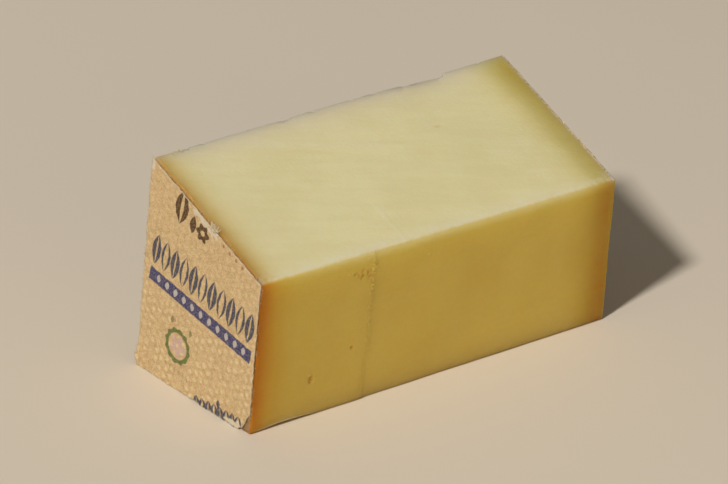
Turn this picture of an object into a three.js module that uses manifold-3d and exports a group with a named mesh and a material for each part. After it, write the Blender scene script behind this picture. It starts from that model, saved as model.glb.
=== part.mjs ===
// A wedge of hard mountain cheese cut from a wheel, with a piece of the wheel's paper label still
// glued to the rind at one end. It lies on one of its flat cut faces.
//
// Units are millimetres and +Z is up. X runs from the labelled rind to the bare rind, and Y from
// the low front face to the high back face. The origin is the middle of the bounding box's base.

import * as THREE from "three";
import { ConvexGeometry } from "three/addons/geometries/ConvexGeometry.js";
import { mergeVertices } from "three/addons/utils/BufferGeometryUtils.js";
import Module from "manifold-3d";

const wasm = await Module();
wasm.setup();

// The wedge as it would be if every cut were true.
const LENGTH = 110; // rind to rind, which is the height of the wheel
const DEPTH = 41.6; // front face to back face
const FRONT_HEIGHT = 37.9;
const BACK_HEIGHT = 54;
const CUT_EDGE_RADIUS = 0.7; // along the edges where two cut faces meet
const RIND_EDGE_RADIUS = 0.6; // round the outline of each rind
const BEAD_SEGMENTS = 20; // facets all round each rounded edge

// The cuts weren't quite parallel: how far each corner of an end is off the true outline, in Y
// and Z. The foot corners stay on the base.
const LABEL_END = {
  frontFoot: new THREE.Vector2(0.7, 0),
  backFoot: new THREE.Vector2(0.1, 0),
  backTop: new THREE.Vector2(-1.1, 0),
  frontTop: new THREE.Vector2(0.2, 0.6),
};
const BARE_END = {
  frontFoot: new THREE.Vector2(-0.9, 0),
  backFoot: new THREE.Vector2(0.4, 0),
  backTop: new THREE.Vector2(0.9, 0),
  frontTop: new THREE.Vector2(0.1, -0.7),
};

// The flake that broke off the top back edge.
const FLAKE_LENGTH = 33;
const FLAKE_FROM_BARE_END = 19.6; // where its blunt end stands
const FLAKE_BLUNT = 2.4; // length of the steep part at the blunt end
const FLAKE_WIDTH = 1.5; // how far it reaches in over the top
const FLAKE_DROP = 5; // how far it reaches down the back

// The low step across the front face where two strokes of the knife met.
const STEP_FROM_LABEL_END = 33.2; // at mid height
const STEP_DEPTH = 0.35; // nothing at the bare end
const STEP_LEAN = 0.03; // sideways per millimetre of height

// The foot of the front face curls up off the base near the label.
const CURL_LENGTH = 20;
const CURL_RISE = 0.6;
const CURL_DEPTH = 5;

// Eyes cut open by the front face: distance from the label end, height, and half sizes.
const EYES = [
  { fromLabel: 17.1, height: 9.5, radii: [0.9, 1.0, 1.4] },
  { fromLabel: 28.7, height: 14.6, radii: [0.6, 0.7, 0.5] },
  { fromLabel: 49.6, height: 7.1, radii: [0.5, 0.5, 0.6] },
];
const EYE_SEGMENTS = 14;

// The paper label on the rind.
const LABEL_THICKNESS = 0.4;
const GLUE_GAP = 0.3; // between the rind and the paper
const LABEL_INSET = 0.35; // from the outline of the rind
const LABEL_FLARE = 1.0; // its back foot stands out past the cheese by this
const TORN_WIDTH = 3.4; // the corner missing at the front foot
const TORN_HEIGHT = 4.6;

const OVERCUT = 2; // cutters run past the faces that they cut by this

const cheeseMaterial = new THREE.MeshStandardMaterial({
  color: 0xd8bf74,
  roughness: 0.5,
  metalness: 0,
});
const labelMaterial = new THREE.MeshStandardMaterial({
  color: 0xcba56b,
  roughness: 0.85,
  metalness: 0,
});

/** The height of the sloping top at a distance y behind the front face, before any skew. */
function topHeight(y) {
  return THREE.MathUtils.lerp(FRONT_HEIGHT, BACK_HEIGHT, y / DEPTH);
}

/** Turns a shape drawn in (Y, Z) and extruded along its own normal so that it runs along X. */
function layAlongX(geometry, startX) {
  const turn = new THREE.Matrix4().makeBasis(
    new THREE.Vector3(0, 1, 0),
    new THREE.Vector3(0, 0, 1),
    new THREE.Vector3(1, 0, 0),
  );
  return geometry.applyMatrix4(turn).translate(startX, 0, 0);
}

/** A manifold solid from a closed three.js geometry. */
function toSolid(geometry) {
  geometry.deleteAttribute("normal");
  geometry.deleteAttribute("uv");
  const merged = mergeVertices(geometry);
  const mesh = new wasm.Mesh({
    numProp: 3,
    vertProperties: merged.attributes.position.array,
    triVerts: merged.index.array,
  });
  return new wasm.Manifold(mesh);
}

/** A three.js geometry from a manifold solid. */
function toGeometry(solid) {
  const mesh = solid.getMesh();
  const geometry = new THREE.BufferGeometry();
  geometry.setAttribute("position", new THREE.BufferAttribute(mesh.vertProperties, 3));
  geometry.setIndex(new THREE.BufferAttribute(mesh.triVerts, 1));
  return geometry;
}

/** Bends the true wedge, vertex by vertex, to the corners that its two ends really have. */
function skew(geometry) {
  const position = geometry.attributes.position;
  for (let i = 0; i < position.count; i += 1) {
    const x = position.getX(i);
    const y = position.getY(i);
    const z = position.getZ(i);
    const shift = skewAt(x, y, z);
    position.setXYZ(i, x, y + shift.x, z + shift.y);
  }
  position.needsUpdate = true;
  geometry.computeVertexNormals();
  return geometry;
}

/** The shift in (Y, Z) at a point of the true wedge, blended between the eight corners. */
function skewAt(x, y, z) {
  const along = x / LENGTH + 0.5;
  const back = y / DEPTH;
  const up = z / topHeight(y);
  const endShift = (end) => {
    const foot = end.frontFoot.clone().lerp(end.backFoot, back);
    const top = end.frontTop.clone().lerp(end.backTop, back);
    return foot.lerp(top, up);
  };
  return endShift(LABEL_END).lerp(endShift(BARE_END), along);
}

/** Where the rounded edges along the wedge have their centre lines, in (Y, Z). */
function edgeCentres() {
  const slope = Math.atan2(BACK_HEIGHT - FRONT_HEIGHT, DEPTH);
  const belowTop = CUT_EDGE_RADIUS / Math.cos(slope);
  const front = CUT_EDGE_RADIUS;
  const back = DEPTH - CUT_EDGE_RADIUS;
  return [
    new THREE.Vector2(front, CUT_EDGE_RADIUS),
    new THREE.Vector2(back, CUT_EDGE_RADIUS),
    new THREE.Vector2(back, topHeight(back) - belowTop),
    new THREE.Vector2(front, topHeight(front) - belowTop),
  ];
}

/** The wedge before anything is cut from it: the hull of a round bead in each of its corners. */
function blockSolid() {
  const bead = new THREE.SphereGeometry(1, BEAD_SEGMENTS, BEAD_SEGMENTS / 2);
  bead.scale(RIND_EDGE_RADIUS, CUT_EDGE_RADIUS, CUT_EDGE_RADIUS);
  const endX = LENGTH / 2 - RIND_EDGE_RADIUS;
  const points = [];
  for (const x of [-endX, endX]) {
    for (const centre of edgeCentres()) {
      const placed = bead.clone().translate(x, centre.x, centre.y).attributes.position;
      for (let i = 0; i < placed.count; i += 1) {
        points.push(new THREE.Vector3().fromBufferAttribute(placed, i));
      }
    }
  }
  return toSolid(new ConvexGeometry(points));
}

/** The flake missing from the top back edge: long and thin, with one blunt end. */
function flakeSolid() {
  const bluntX = LENGTH / 2 - FLAKE_FROM_BARE_END;
  const deepX = bluntX - FLAKE_BLUNT;
  const thinX = bluntX - FLAKE_LENGTH;
  const innerY = DEPTH - FLAKE_WIDTH;
  const outside = OVERCUT + FLAKE_WIDTH;
  const points = [
    new THREE.Vector3(thinX, DEPTH, BACK_HEIGHT),
    new THREE.Vector3(bluntX, DEPTH, BACK_HEIGHT),
    new THREE.Vector3(deepX, innerY, topHeight(innerY)),
    new THREE.Vector3(deepX, DEPTH, BACK_HEIGHT - FLAKE_DROP),
    new THREE.Vector3(deepX, innerY, topHeight(innerY) + outside),
    new THREE.Vector3(deepX, DEPTH + outside, BACK_HEIGHT - FLAKE_DROP),
    new THREE.Vector3(thinX, DEPTH + outside, BACK_HEIGHT + outside),
    new THREE.Vector3(bluntX, DEPTH + outside, BACK_HEIGHT + outside),
  ];
  return toSolid(new ConvexGeometry(points));
}

/** The shallow slice that the second knife stroke took off the front face. */
function stepSolid() {
  const stepX = STEP_FROM_LABEL_END - LENGTH / 2;
  const endX = LENGTH / 2;
  const plan = new THREE.Shape([
    new THREE.Vector2(stepX, -OVERCUT),
    new THREE.Vector2(endX, -OVERCUT),
    new THREE.Vector2(endX, 0),
    new THREE.Vector2(stepX, STEP_DEPTH),
  ]);
  const geometry = new THREE.ExtrudeGeometry(plan, {
    depth: BACK_HEIGHT + 2 * OVERCUT,
    bevelEnabled: false,
  });
  geometry.translate(0, 0, -OVERCUT);
  const lean = new THREE.Matrix4().makeShear(0, 0, 0, 0, STEP_LEAN, 0);
  geometry.translate(0, 0, -FRONT_HEIGHT / 2).applyMatrix4(lean);
  return toSolid(geometry.translate(0, 0, FRONT_HEIGHT / 2));
}

/** The sliver under the front foot that leaves it curled up near the label. */
function curlSolid() {
  const endX = -LENGTH / 2;
  const points = [
    new THREE.Vector3(endX, 0, CURL_RISE),
    new THREE.Vector3(endX, CURL_DEPTH, 0),
    new THREE.Vector3(endX + CURL_LENGTH, 0, 0),
    new THREE.Vector3(endX - OVERCUT, -OVERCUT, CURL_RISE),
    new THREE.Vector3(endX - OVERCUT, CURL_DEPTH, 0),
    new THREE.Vector3(endX - OVERCUT, -OVERCUT, -OVERCUT),
    new THREE.Vector3(endX - OVERCUT, CURL_DEPTH, -OVERCUT),
    new THREE.Vector3(endX + CURL_LENGTH, -OVERCUT, -OVERCUT),
  ];
  return toSolid(new ConvexGeometry(points));
}

/** One round eye, centred on the front face. */
function eyeSolid({ fromLabel, height, radii }) {
  const sphere = new THREE.SphereGeometry(1, EYE_SEGMENTS, EYE_SEGMENTS / 2);
  sphere.scale(...radii).translate(fromLabel - LENGTH / 2, 0, height);
  return toSolid(sphere);
}

/** The cheese: paste and rind in one piece. */
function cheeseMesh() {
  const cutters = [flakeSolid(), stepSolid(), curlSolid(), ...EYES.map(eyeSolid)];
  const cut = cutters.reduce((block, cutter) => block.subtract(cutter), blockSolid());
  const mesh = new THREE.Mesh(skew(toGeometry(cut)), cheeseMaterial);
  mesh.name = "cheese";
  return mesh;
}

/** The corners of the label in (Y, Z), inset from the labelled end of the cheese. */
function labelCorners() {
  const frontTop = FRONT_HEIGHT - 2 * LABEL_INSET;
  const backTop = BACK_HEIGHT - 2 * LABEL_INSET;
  const corners = [
    new THREE.Vector2(LABEL_INSET + TORN_WIDTH, LABEL_INSET),
    new THREE.Vector2(DEPTH + LABEL_FLARE, LABEL_INSET),
    new THREE.Vector2(DEPTH - LABEL_INSET, backTop),
    new THREE.Vector2(LABEL_INSET, frontTop),
    new THREE.Vector2(LABEL_INSET, LABEL_INSET + TORN_HEIGHT),
  ];
  return corners.map((corner) => corner.add(skewAt(-LENGTH / 2, corner.x, corner.y)));
}

/** The printed paper label, a thin plate that stands just off the rind. */
function labelMesh() {
  const geometry = new THREE.ExtrudeGeometry(new THREE.Shape(labelCorners()), {
    depth: LABEL_THICKNESS,
    bevelEnabled: false,
  });
  const outerX = -LENGTH / 2 - GLUE_GAP - LABEL_THICKNESS;
  const mesh = new THREE.Mesh(layAlongX(geometry, outerX), labelMaterial);
  mesh.name = "paper_label";
  return mesh;
}

/** Both pieces, moved so that the origin is the middle of the base. */
function cheeseWedge() {
  const wedge = new THREE.Group();
  wedge.add(cheeseMesh(), labelMesh());
  const middle = new THREE.Box3().setFromObject(wedge).getCenter(new THREE.Vector3());
  wedge.position.set(-middle.x, -middle.y, 0);
  return wedge;
}

export default cheeseWedge();
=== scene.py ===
"""Dresses the cheese wedge: the cut cheese with its rind, and the torn paper label on one end."""

import functools
import itertools
import logging
import math
from collections.abc import Sequence
from dataclasses import dataclass, field, fields
from enum import Enum
from typing import Any

import bpy
import numpy as np
from mathutils import Matrix, Vector


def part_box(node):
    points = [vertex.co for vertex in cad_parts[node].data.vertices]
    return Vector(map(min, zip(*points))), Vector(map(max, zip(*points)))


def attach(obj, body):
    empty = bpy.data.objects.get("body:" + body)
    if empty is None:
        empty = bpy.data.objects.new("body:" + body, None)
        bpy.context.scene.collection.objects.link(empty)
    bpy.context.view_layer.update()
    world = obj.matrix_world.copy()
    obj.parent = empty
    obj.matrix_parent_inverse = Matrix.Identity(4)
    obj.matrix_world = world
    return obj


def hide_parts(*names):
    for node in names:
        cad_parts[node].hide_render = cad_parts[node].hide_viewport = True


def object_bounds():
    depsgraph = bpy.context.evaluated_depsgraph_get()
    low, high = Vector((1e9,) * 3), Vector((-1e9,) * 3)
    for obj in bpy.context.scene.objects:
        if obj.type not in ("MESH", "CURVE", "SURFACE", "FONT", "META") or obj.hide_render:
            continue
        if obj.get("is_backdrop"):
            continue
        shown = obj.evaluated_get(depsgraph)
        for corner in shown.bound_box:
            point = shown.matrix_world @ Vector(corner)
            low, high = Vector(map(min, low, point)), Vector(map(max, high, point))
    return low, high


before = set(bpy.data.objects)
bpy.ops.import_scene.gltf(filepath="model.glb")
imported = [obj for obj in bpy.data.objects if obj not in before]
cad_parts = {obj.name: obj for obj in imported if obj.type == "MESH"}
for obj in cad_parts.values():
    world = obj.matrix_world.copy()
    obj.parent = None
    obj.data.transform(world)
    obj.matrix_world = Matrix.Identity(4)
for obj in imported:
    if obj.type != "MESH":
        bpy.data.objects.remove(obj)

LOG = logging.getLogger("cheese_wedge")
MM = 0.001
PER_MM = 1.0 / MM
BODY = "root"
STROKE_ANGLE = math.radians(-19.0)
CAD_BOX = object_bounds()

Points = np.ndarray
Colour = tuple[float, float, float]
Stops = tuple[tuple[float, Colour], ...]


# ---- Tools for meshes ----


@dataclass(frozen=True)
class Grain:
    """Smooth, repeatable unevenness in space, from -1 to 1.

    The lumps may be longer along one axis than another, which makes the drag marks of a knife.
    """

    seed: int
    size: tuple[float, float, float]
    octaves: int = 2

    CELL_PRIMES = (73856093, 19349663, 83492791)
    SEED_PRIME = 7919
    OCTAVE_PRIME = 104729
    MIXER = 1274126177
    POSITIVE = 0x7FFFFFFF
    LOW_BITS = 0xFFFF

    def at(self, points: Points) -> np.ndarray:
        """Reads the unevenness at some points.

        Args:
            points: Places in metres, one row each.

        Returns:
            One number from -1 to 1 for each point.
        """
        cells = points / np.array(self.size)
        total = np.zeros(len(points))
        weight = 0.0
        for octave in range(self.octaves):
            share = 0.5**octave
            total += share * self._layer(cells * 2**octave, octave)
            weight += share
        return total / weight

    def on_sheet(self, spots: Points) -> np.ndarray:
        """Reads the unevenness at spots of the label's plane, given in Y and Z."""
        return self.at(np.column_stack([np.zeros(len(spots)), spots]))

    def _layer(self, cells: Points, octave: int) -> np.ndarray:
        """Blends the random values at the corners of each point's cell.

        Args:
            cells: Places, counted in cells.
            octave: The number of the layer.

        Returns:
            One number from -1 to 1 for each place.
        """
        base = np.floor(cells).astype(np.int64)
        part = cells - base
        ease = part * part * (3.0 - 2.0 * part)
        value = np.zeros(len(cells))
        for corner in itertools.product((0, 1), repeat=3):
            far = np.array(corner)
            weight = np.prod(np.where(far == 1, ease, 1.0 - ease), axis=1)
            value += weight * self._random(base + far, octave)
        return value

    def _random(self, cells: np.ndarray, octave: int) -> np.ndarray:
        """Gives each cell corner its own fixed value.

        Args:
            cells: Whole-numbered corners.
            octave: The number of the layer.

        Returns:
            One number from -1 to 1 for each corner.
        """
        mixed = cells @ np.array(self.CELL_PRIMES)
        mixed = (mixed + self.seed * self.SEED_PRIME + octave * self.OCTAVE_PRIME) & self.POSITIVE
        mixed = ((mixed ^ (mixed >> 13)) * self.MIXER) & self.POSITIVE
        mixed = (mixed ^ (mixed >> 15)) & self.LOW_BITS
        return mixed / (self.LOW_BITS / 2) - 1.0


def smooth_step(value: np.ndarray) -> np.ndarray:
    """Eases values from 0 at 0 to 1 at 1, flat outside that range."""
    part = np.clip(value, 0.0, 1.0)
    return part * part * (3.0 - 2.0 * part)


@dataclass(frozen=True)
class Focus:
    """A place along a grid where small features need finer lines."""

    place: float
    step: float = 0.34 * MM
    reach: float = 1.0 * MM


def grid_lines(
    length: float, step: float, edge_step: float, places: Sequence[Focus] = ()
) -> np.ndarray:
    """Places grid lines over a length, closer together at its ends and at places of interest.

    Args:
        length: The length to cover, in metres.
        step: The usual distance between two lines.
        edge_step: The distance at both ends.
        places: The places of interest.

    Returns:
        The positions of the lines, from 0 to length.
    """
    widening = 0.35
    samples = 6001
    fine = np.linspace(0.0, length, samples)
    gap = np.minimum(step, edge_step + widening * np.minimum(fine, length - fine))
    for focus in places:
        outside = np.maximum(np.abs(fine - focus.place) - focus.reach, 0.0)
        gap = np.minimum(gap, focus.step + widening * outside)
    counted = np.cumsum(np.diff(fine) * 2.0 / (gap[1:] + gap[:-1]))
    counted = np.concatenate([[0.0], counted])
    number = math.ceil(counted[-1])
    return np.interp(np.linspace(0.0, counted[-1], number + 1), counted, fine)


def grid_quads(layer: np.ndarray, turned: bool) -> np.ndarray:
    """Lists the quads of a flat grid.

    Args:
        layer: The point numbers of the grid, in rows and columns.
        turned: Whether the quads face the other way.

    Returns:
        The quads, as rows of four point numbers.
    """
    rings = [layer[:-1, :-1], layer[1:, :-1], layer[1:, 1:], layer[:-1, 1:]]
    if turned:
        rings.reverse()
    return np.stack([ring.ravel() for ring in rings], axis=1)


def box_skin(lines: Sequence[np.ndarray]) -> tuple[Points, np.ndarray]:
    """Makes the skin of a box from its grid lines.

    Args:
        lines: The grid lines along X, Y and Z.

    Returns:
        The points of the skin, and its outward quads as rows of four point numbers.
    """
    counts = [len(line) for line in lines]
    index = np.arange(math.prod(counts)).reshape(counts)
    sides = []
    for axis, low_turned in ((2, True), (1, False), (0, True)):
        sides.append(grid_quads(index.take(0, axis), low_turned))
        sides.append(grid_quads(index.take(-1, axis), not low_turned))
    used, faces = np.unique(np.concatenate(sides), return_inverse=True)
    places = np.unravel_index(used, counts)
    points = np.stack([line[place] for line, place in zip(lines, places)], axis=1)
    return points, faces.reshape(-1, 4)


def point_normals(points: Points, faces: np.ndarray) -> Points:
    """Works out the outward direction at each point of a mesh of quads.

    Args:
        points: The mesh's points.
        faces: Its quads.

    Returns:
        One unit vector for each point.
    """
    corner = points[faces]
    area = np.cross(corner[:, 2] - corner[:, 0], corner[:, 3] - corner[:, 1])
    normals = np.zeros_like(points)
    for column in range(4):
        np.add.at(normals, faces[:, column], area)
    return normals / np.maximum(np.linalg.norm(normals, axis=1, keepdims=True), 1e-12)


def new_mesh(name: str, points: Points, faces: np.ndarray | list) -> bpy.types.Mesh:
    """Makes a smooth-shaded mesh.

    Args:
        name: The mesh's name.
        points: Its points, in metres.
        faces: Its faces, as rows of point numbers.

    Returns:
        The new mesh.
    """
    mesh = bpy.data.meshes.new(name)
    mesh.from_pydata(points.tolist(), [], [list(map(int, face)) for face in faces])
    mesh.polygons.foreach_set("use_smooth", [True] * len(mesh.polygons))
    mesh.update()
    return mesh


def store(mesh: bpy.types.Mesh, name: str, values: np.ndarray) -> None:
    """Keeps one number for each point on the mesh, for its material to read."""
    attribute = mesh.attributes.new(name, "FLOAT", "POINT")
    attribute.data.foreach_set("value", values.astype(np.float32))


def path_mesh(name: str, points: Points) -> bpy.types.Mesh:
    """Makes a mesh that is only a line through some points, for a tree to grow things along.

    Args:
        name: The mesh's name.
        points: The points, in order.

    Returns:
        The new mesh.
    """
    mesh = bpy.data.meshes.new(name)
    mesh.from_pydata(points.tolist(), list(itertools.pairwise(range(len(points)))), [])
    mesh.update()
    return mesh


def densified(corners: Points, step: float) -> Points:
    """Adds points along the straight stretches between corners.

    Args:
        corners: The corners, in order.
        step: The longest distance between two points.

    Returns:
        The denser row of points.
    """
    rows = []
    for start, end in itertools.pairwise(corners):
        number = max(1, math.ceil(np.linalg.norm(end - start) / step))
        rows.append(start + (end - start) * np.linspace(0, 1, number, endpoint=False)[:, None])
    rows.append(corners[-1:])
    return np.concatenate(rows)


# ---- Tools for node trees ----


class SocketKind(Enum):
    """The kinds of value that the trees' inputs and outputs carry."""

    NUMBER = "NodeSocketFloat"
    WHOLE = "NodeSocketInt"
    VECTOR = "NodeSocketVector"
    SHAPE = "NodeSocketGeometry"
    FINISH = "NodeSocketMaterial"


class Wiring:
    """Adds nodes to one tree and links them, so that a formula reads from left to right."""

    def __init__(self, tree: bpy.types.NodeTree) -> None:
        """Starts with a tree, which may already hold nodes."""
        self.tree = tree

    def add(self, kind: str, inputs: dict[Any, Any] | None = None, **settings: Any) -> Any:
        """Adds a node.

        Args:
            kind: The node's type name.
            inputs: Sockets, by name or number, and what goes into each.
            **settings: The node's own properties.

        Returns:
            The new node.
        """
        node = self.tree.nodes.new(kind)
        for key, value in settings.items():
            setattr(node, key, value)
        for key, value in (inputs or {}).items():
            self.feed(node.inputs[key], value)
        return node

    def feed(self, socket: Any, value: Any) -> None:
        """Links a socket to another, or sets it to a plain value.

        Args:
            socket: The socket to feed.
            value: Another node's output, or a number, a vector or a material.
        """
        if isinstance(value, bpy.types.NodeSocket):
            self.tree.links.new(value, socket)
        else:
            socket.default_value = value

    def math(self, operation: str, *values: Any, clamp: bool = False) -> Any:
        """Adds one step of arithmetic and returns its result."""
        inputs = dict(enumerate(values))
        return self.add("ShaderNodeMath", inputs, operation=operation, use_clamp=clamp).outputs[0]

    def plus(self, first: Any, second: Any, clamp: bool = False) -> Any:
        """Adds two values, and keeps the sum between 0 and 1 if asked."""
        return self.math("ADD", first, second, clamp=clamp)

    def minus(self, first: Any, second: Any, clamp: bool = False) -> Any:
        """Subtracts a value, and keeps the rest between 0 and 1 if asked."""
        return self.math("SUBTRACT", first, second, clamp=clamp)

    def times(self, *values: Any) -> Any:
        """Multiplies any number of values."""
        return functools.reduce(functools.partial(self.math, "MULTIPLY"), values)

    def over(self, first: Any, second: Any) -> Any:
        """Divides one value by another."""
        return self.math("DIVIDE", first, second)

    def scaled(self, value: Any, factor: Any, offset: Any, clamp: bool = False) -> Any:
        """Multiplies a value and adds an offset."""
        return self.math("MULTIPLY_ADD", value, factor, offset, clamp=clamp)

    def vector(self, operation: str, *values: Any) -> Any:
        """Adds one step of arithmetic on vectors and returns its result."""
        inputs = dict(enumerate(values))
        return self.add("ShaderNodeVectorMath", inputs, operation=operation).outputs[0]

    def dot(self, vector: Any, direction: Sequence[float]) -> Any:
        """Measures a vector along a fixed direction."""
        inputs = {0: vector, 1: tuple(direction)}
        return self.add("ShaderNodeVectorMath", inputs, operation="DOT_PRODUCT").outputs["Value"]

    def split(self, vector: Any) -> Any:
        """Takes a vector apart and returns its X, Y and Z."""
        return self.add("ShaderNodeSeparateXYZ", {0: vector}).outputs

    def even(self, value: Any) -> Any:
        """Makes a vector with the same number three times."""
        return self.add("ShaderNodeCombineXYZ", dict.fromkeys(range(3), value)).outputs[0]

    def remap(self, value: Any, low: Any, high: Any, to_low: float = 0, to_high: float = 1) -> Any:
        """Eases a value from one range to another."""
        inputs = dict(enumerate((value, low, high, to_low, to_high)))
        return self.add("ShaderNodeMapRange", inputs, interpolation_type="SMOOTHSTEP").outputs[0]

    def noise(
        self, vector: Any, size: float, detail: float = 3, rough: float = 0.55, output: Any = 0
    ) -> Any:
        """Adds a noise texture with lumps of the size given, in metres."""
        inputs = {"Vector": vector, "Scale": 1.0 / size, "Detail": detail, "Roughness": rough}
        return self.add("ShaderNodeTexNoise", inputs).outputs[output]

    def tint(self, factor: Any, first: Any, second: Any, blend: str = "MIX") -> Any:
        """Mixes two colours.

        Args:
            factor: The share of the second colour.
            first: A colour or a socket.
            second: Another.
            blend: How they mix.

        Returns:
            The mixed colour.
        """
        node = self.add("ShaderNodeMix", data_type="RGBA", blend_type=blend)
        self.feed(node.inputs["Factor"], factor)
        for socket, value in ((node.inputs[6], first), (node.inputs[7], second)):
            self.feed(socket, (*value, 1.0) if isinstance(value, tuple) else value)
        return node.outputs[2]

    def attribute(self, name: str) -> Any:
        """Reads one of the piece's own numbers."""
        return self.add("ShaderNodeAttribute", attribute_name=name).outputs["Fac"]

    def bump(self, height: Any) -> Any:
        """Turns a height in metres into a normal."""
        inputs = {"Height": height, "Distance": 1.0, "Strength": 1.0}
        return self.add("ShaderNodeBump", inputs).outputs["Normal"]

    def group(self, tree: bpy.types.NodeTree, values: dict[str, Any]) -> Any:
        """Places a shader group with its own values and returns its mask."""
        return self.add("ShaderNodeGroup", values, node_tree=tree).outputs["Mask"]

    def ramp(self, factor: Any, stops: Stops) -> Any:
        """Adds a colour ramp.

        Args:
            factor: What the ramp reads, from 0 to 1.
            stops: Positions and linear colours.

        Returns:
            The ramp's colour.
        """
        node = self.add("ShaderNodeValToRGB", {0: factor})
        elements = node.color_ramp.elements
        while len(elements) < len(stops):
            elements.new(1.0)
        for element, (position, colour) in zip(elements, stops):
            element.position = position
            element.color = (*colour, 1.0)
        node.color_ramp.interpolation = "B_SPLINE"
        return node.outputs["Color"]

    def random(self, seed: Any, low: Any, high: Any) -> Any:
        """Gives each point its own vector between two others."""
        inputs = {"Seed": seed, 0: low, 1: high}
        return self.add("FunctionNodeRandomValue", inputs, data_type="FLOAT_VECTOR").outputs[0]

    def moved(self, shape: Any, offset: Any) -> Any:
        """Moves the points of a shape."""
        return self.add("GeometryNodeSetPosition", {"Geometry": shape, "Offset": offset}).outputs[0]

    def spaced(self, line: Any, spacing: Any) -> Any:
        """Sets points along a line at even distances.

        Args:
            line: The line, as a mesh.
            spacing: The distance between two points.

        Returns:
            The node that makes the points.
        """
        curve = self.add("GeometryNodeMeshToCurve", {0: line}).outputs[0]
        inputs = {"Curve": curve, "Length": spacing}
        return self.add("GeometryNodeCurveToPoints", inputs, mode="LENGTH")

    def finish(self, source: Any, result: Any, shape: Any) -> None:
        """Ends a geometry tree: makes its copies real and gives them their material.

        Args:
            source: The outputs of the tree's input node.
            result: The inputs of its output node.
            shape: What the tree made.
        """
        real = self.add("GeometryNodeRealizeInstances", {0: shape}).outputs[0]
        dressed = {"Geometry": real, "Material": source["Material"]}
        self.feed(result["Geometry"], self.add("GeometryNodeSetMaterial", dressed).outputs[0])


def new_tree(
    name: str, kind: str, inputs: dict[str, SocketKind], outputs: dict[str, SocketKind]
) -> tuple[Wiring, Any, Any]:
    """Makes a node group with named sockets.

    Args:
        name: The group's name.
        kind: ShaderNodeTree or GeometryNodeTree.
        inputs: The input sockets.
        outputs: The output sockets.

    Returns:
        The wiring of the new tree, its input node's outputs and its output node's inputs.
    """
    tree = bpy.data.node_groups.new(name, kind)
    for way, sockets in (("INPUT", inputs), ("OUTPUT", outputs)):
        for label, socket in sockets.items():
            tree.interface.new_socket(label, in_out=way, socket_type=socket.value)
    wiring = Wiring(tree)
    start = wiring.add("NodeGroupInput")
    end = wiring.add("NodeGroupOutput")
    return wiring, start.outputs, end.inputs


def mask_group(name: str, numbers: Sequence[str]) -> tuple[Wiring, Any, Any]:
    """Starts a shader group that reads a Vector and some numbers, and puts out one Mask."""
    inputs = {"Vector": SocketKind.VECTOR, **dict.fromkeys(numbers, SocketKind.NUMBER)}
    return new_tree(name, "ShaderNodeTree", inputs, {"Mask": SocketKind.NUMBER})


def shape_tree(name: str, sizes: Sequence[str]) -> tuple[Wiring, Any, Any]:
    """Starts a geometry tree that changes a mesh.

    Args:
        name: The tree's name.
        sizes: The names of the sizes that it reads. Seed is a whole number.

    Returns:
        The wiring of the new tree, its input node's outputs and its output node's inputs.
    """
    inputs = {"Geometry": SocketKind.SHAPE, **dict.fromkeys(sizes, SocketKind.NUMBER)}
    if "Seed" in sizes:
        inputs["Seed"] = SocketKind.WHOLE
    inputs["Material"] = SocketKind.FINISH
    return new_tree(name, "GeometryNodeTree", inputs, {"Geometry": SocketKind.SHAPE})


def grown(
    name: str, seed: bpy.types.Mesh, tree: bpy.types.NodeTree, values: dict[str, Any]
) -> bpy.types.Object:
    """Runs a geometry tree on a mesh and keeps what it makes as a plain object.

    Args:
        name: The name of the piece.
        seed: The mesh that the tree starts from.
        tree: The tree.
        values: The tree's inputs, by name.

    Returns:
        The new piece, with no modifier.
    """
    holder = bpy.data.objects.new(name + "_holder", seed)
    bpy.context.scene.collection.objects.link(holder)
    modifier = holder.modifiers.new("grow", "NODES")
    modifier.node_group = tree
    for item in tree.interface.items_tree:
        if item.in_out == "INPUT" and item.name in values:
            modifier[item.identifier] = values[item.name]
    graph = bpy.context.evaluated_depsgraph_get()
    mesh = bpy.data.meshes.new_from_object(holder.evaluated_get(graph), depsgraph=graph)
    bpy.data.objects.remove(holder)
    piece = bpy.data.objects.new(name, mesh)
    bpy.context.scene.collection.objects.link(piece)
    return piece


def mount_piece(piece: bpy.types.Object, replaces: str | None = None) -> None:
    """Fixes a piece to the wedge's one body and reports it.

    Args:
        piece: The finished piece.
        replaces: The CAD node that it stands for, if any.
    """
    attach(piece, BODY)
    if replaces is not None:
        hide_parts(replaces)
    LOG.info("%s: %d faces", piece.name, len(piece.data.polygons))


# ---- The form of the wedge ----


@dataclass(frozen=True)
class EndShift:
    """How far the corners of one end lie off the true outline, in Y and Z."""

    front_foot: tuple[float, float]
    back_foot: tuple[float, float]
    back_top: tuple[float, float]
    front_top: tuple[float, float]

    def at(self, back: np.ndarray, up: np.ndarray) -> Points:
        """Blends the shift between the four corners.

        Args:
            back: How far back each point lies, from 0 to 1.
            up: How far up it lies, from 0 to 1.

        Returns:
            The shift in X, Y and Z; the first is always 0.
        """
        blend = [
            ((1 - back) * (1 - up), self.front_foot),
            (back * (1 - up), self.back_foot),
            (back * up, self.back_top),
            ((1 - back) * up, self.front_top),
        ]
        shift = np.zeros((len(back), 3))
        for weight, corner in blend:
            shift[:, 1] += weight * corner[0]
            shift[:, 2] += weight * corner[1]
        return shift


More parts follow.
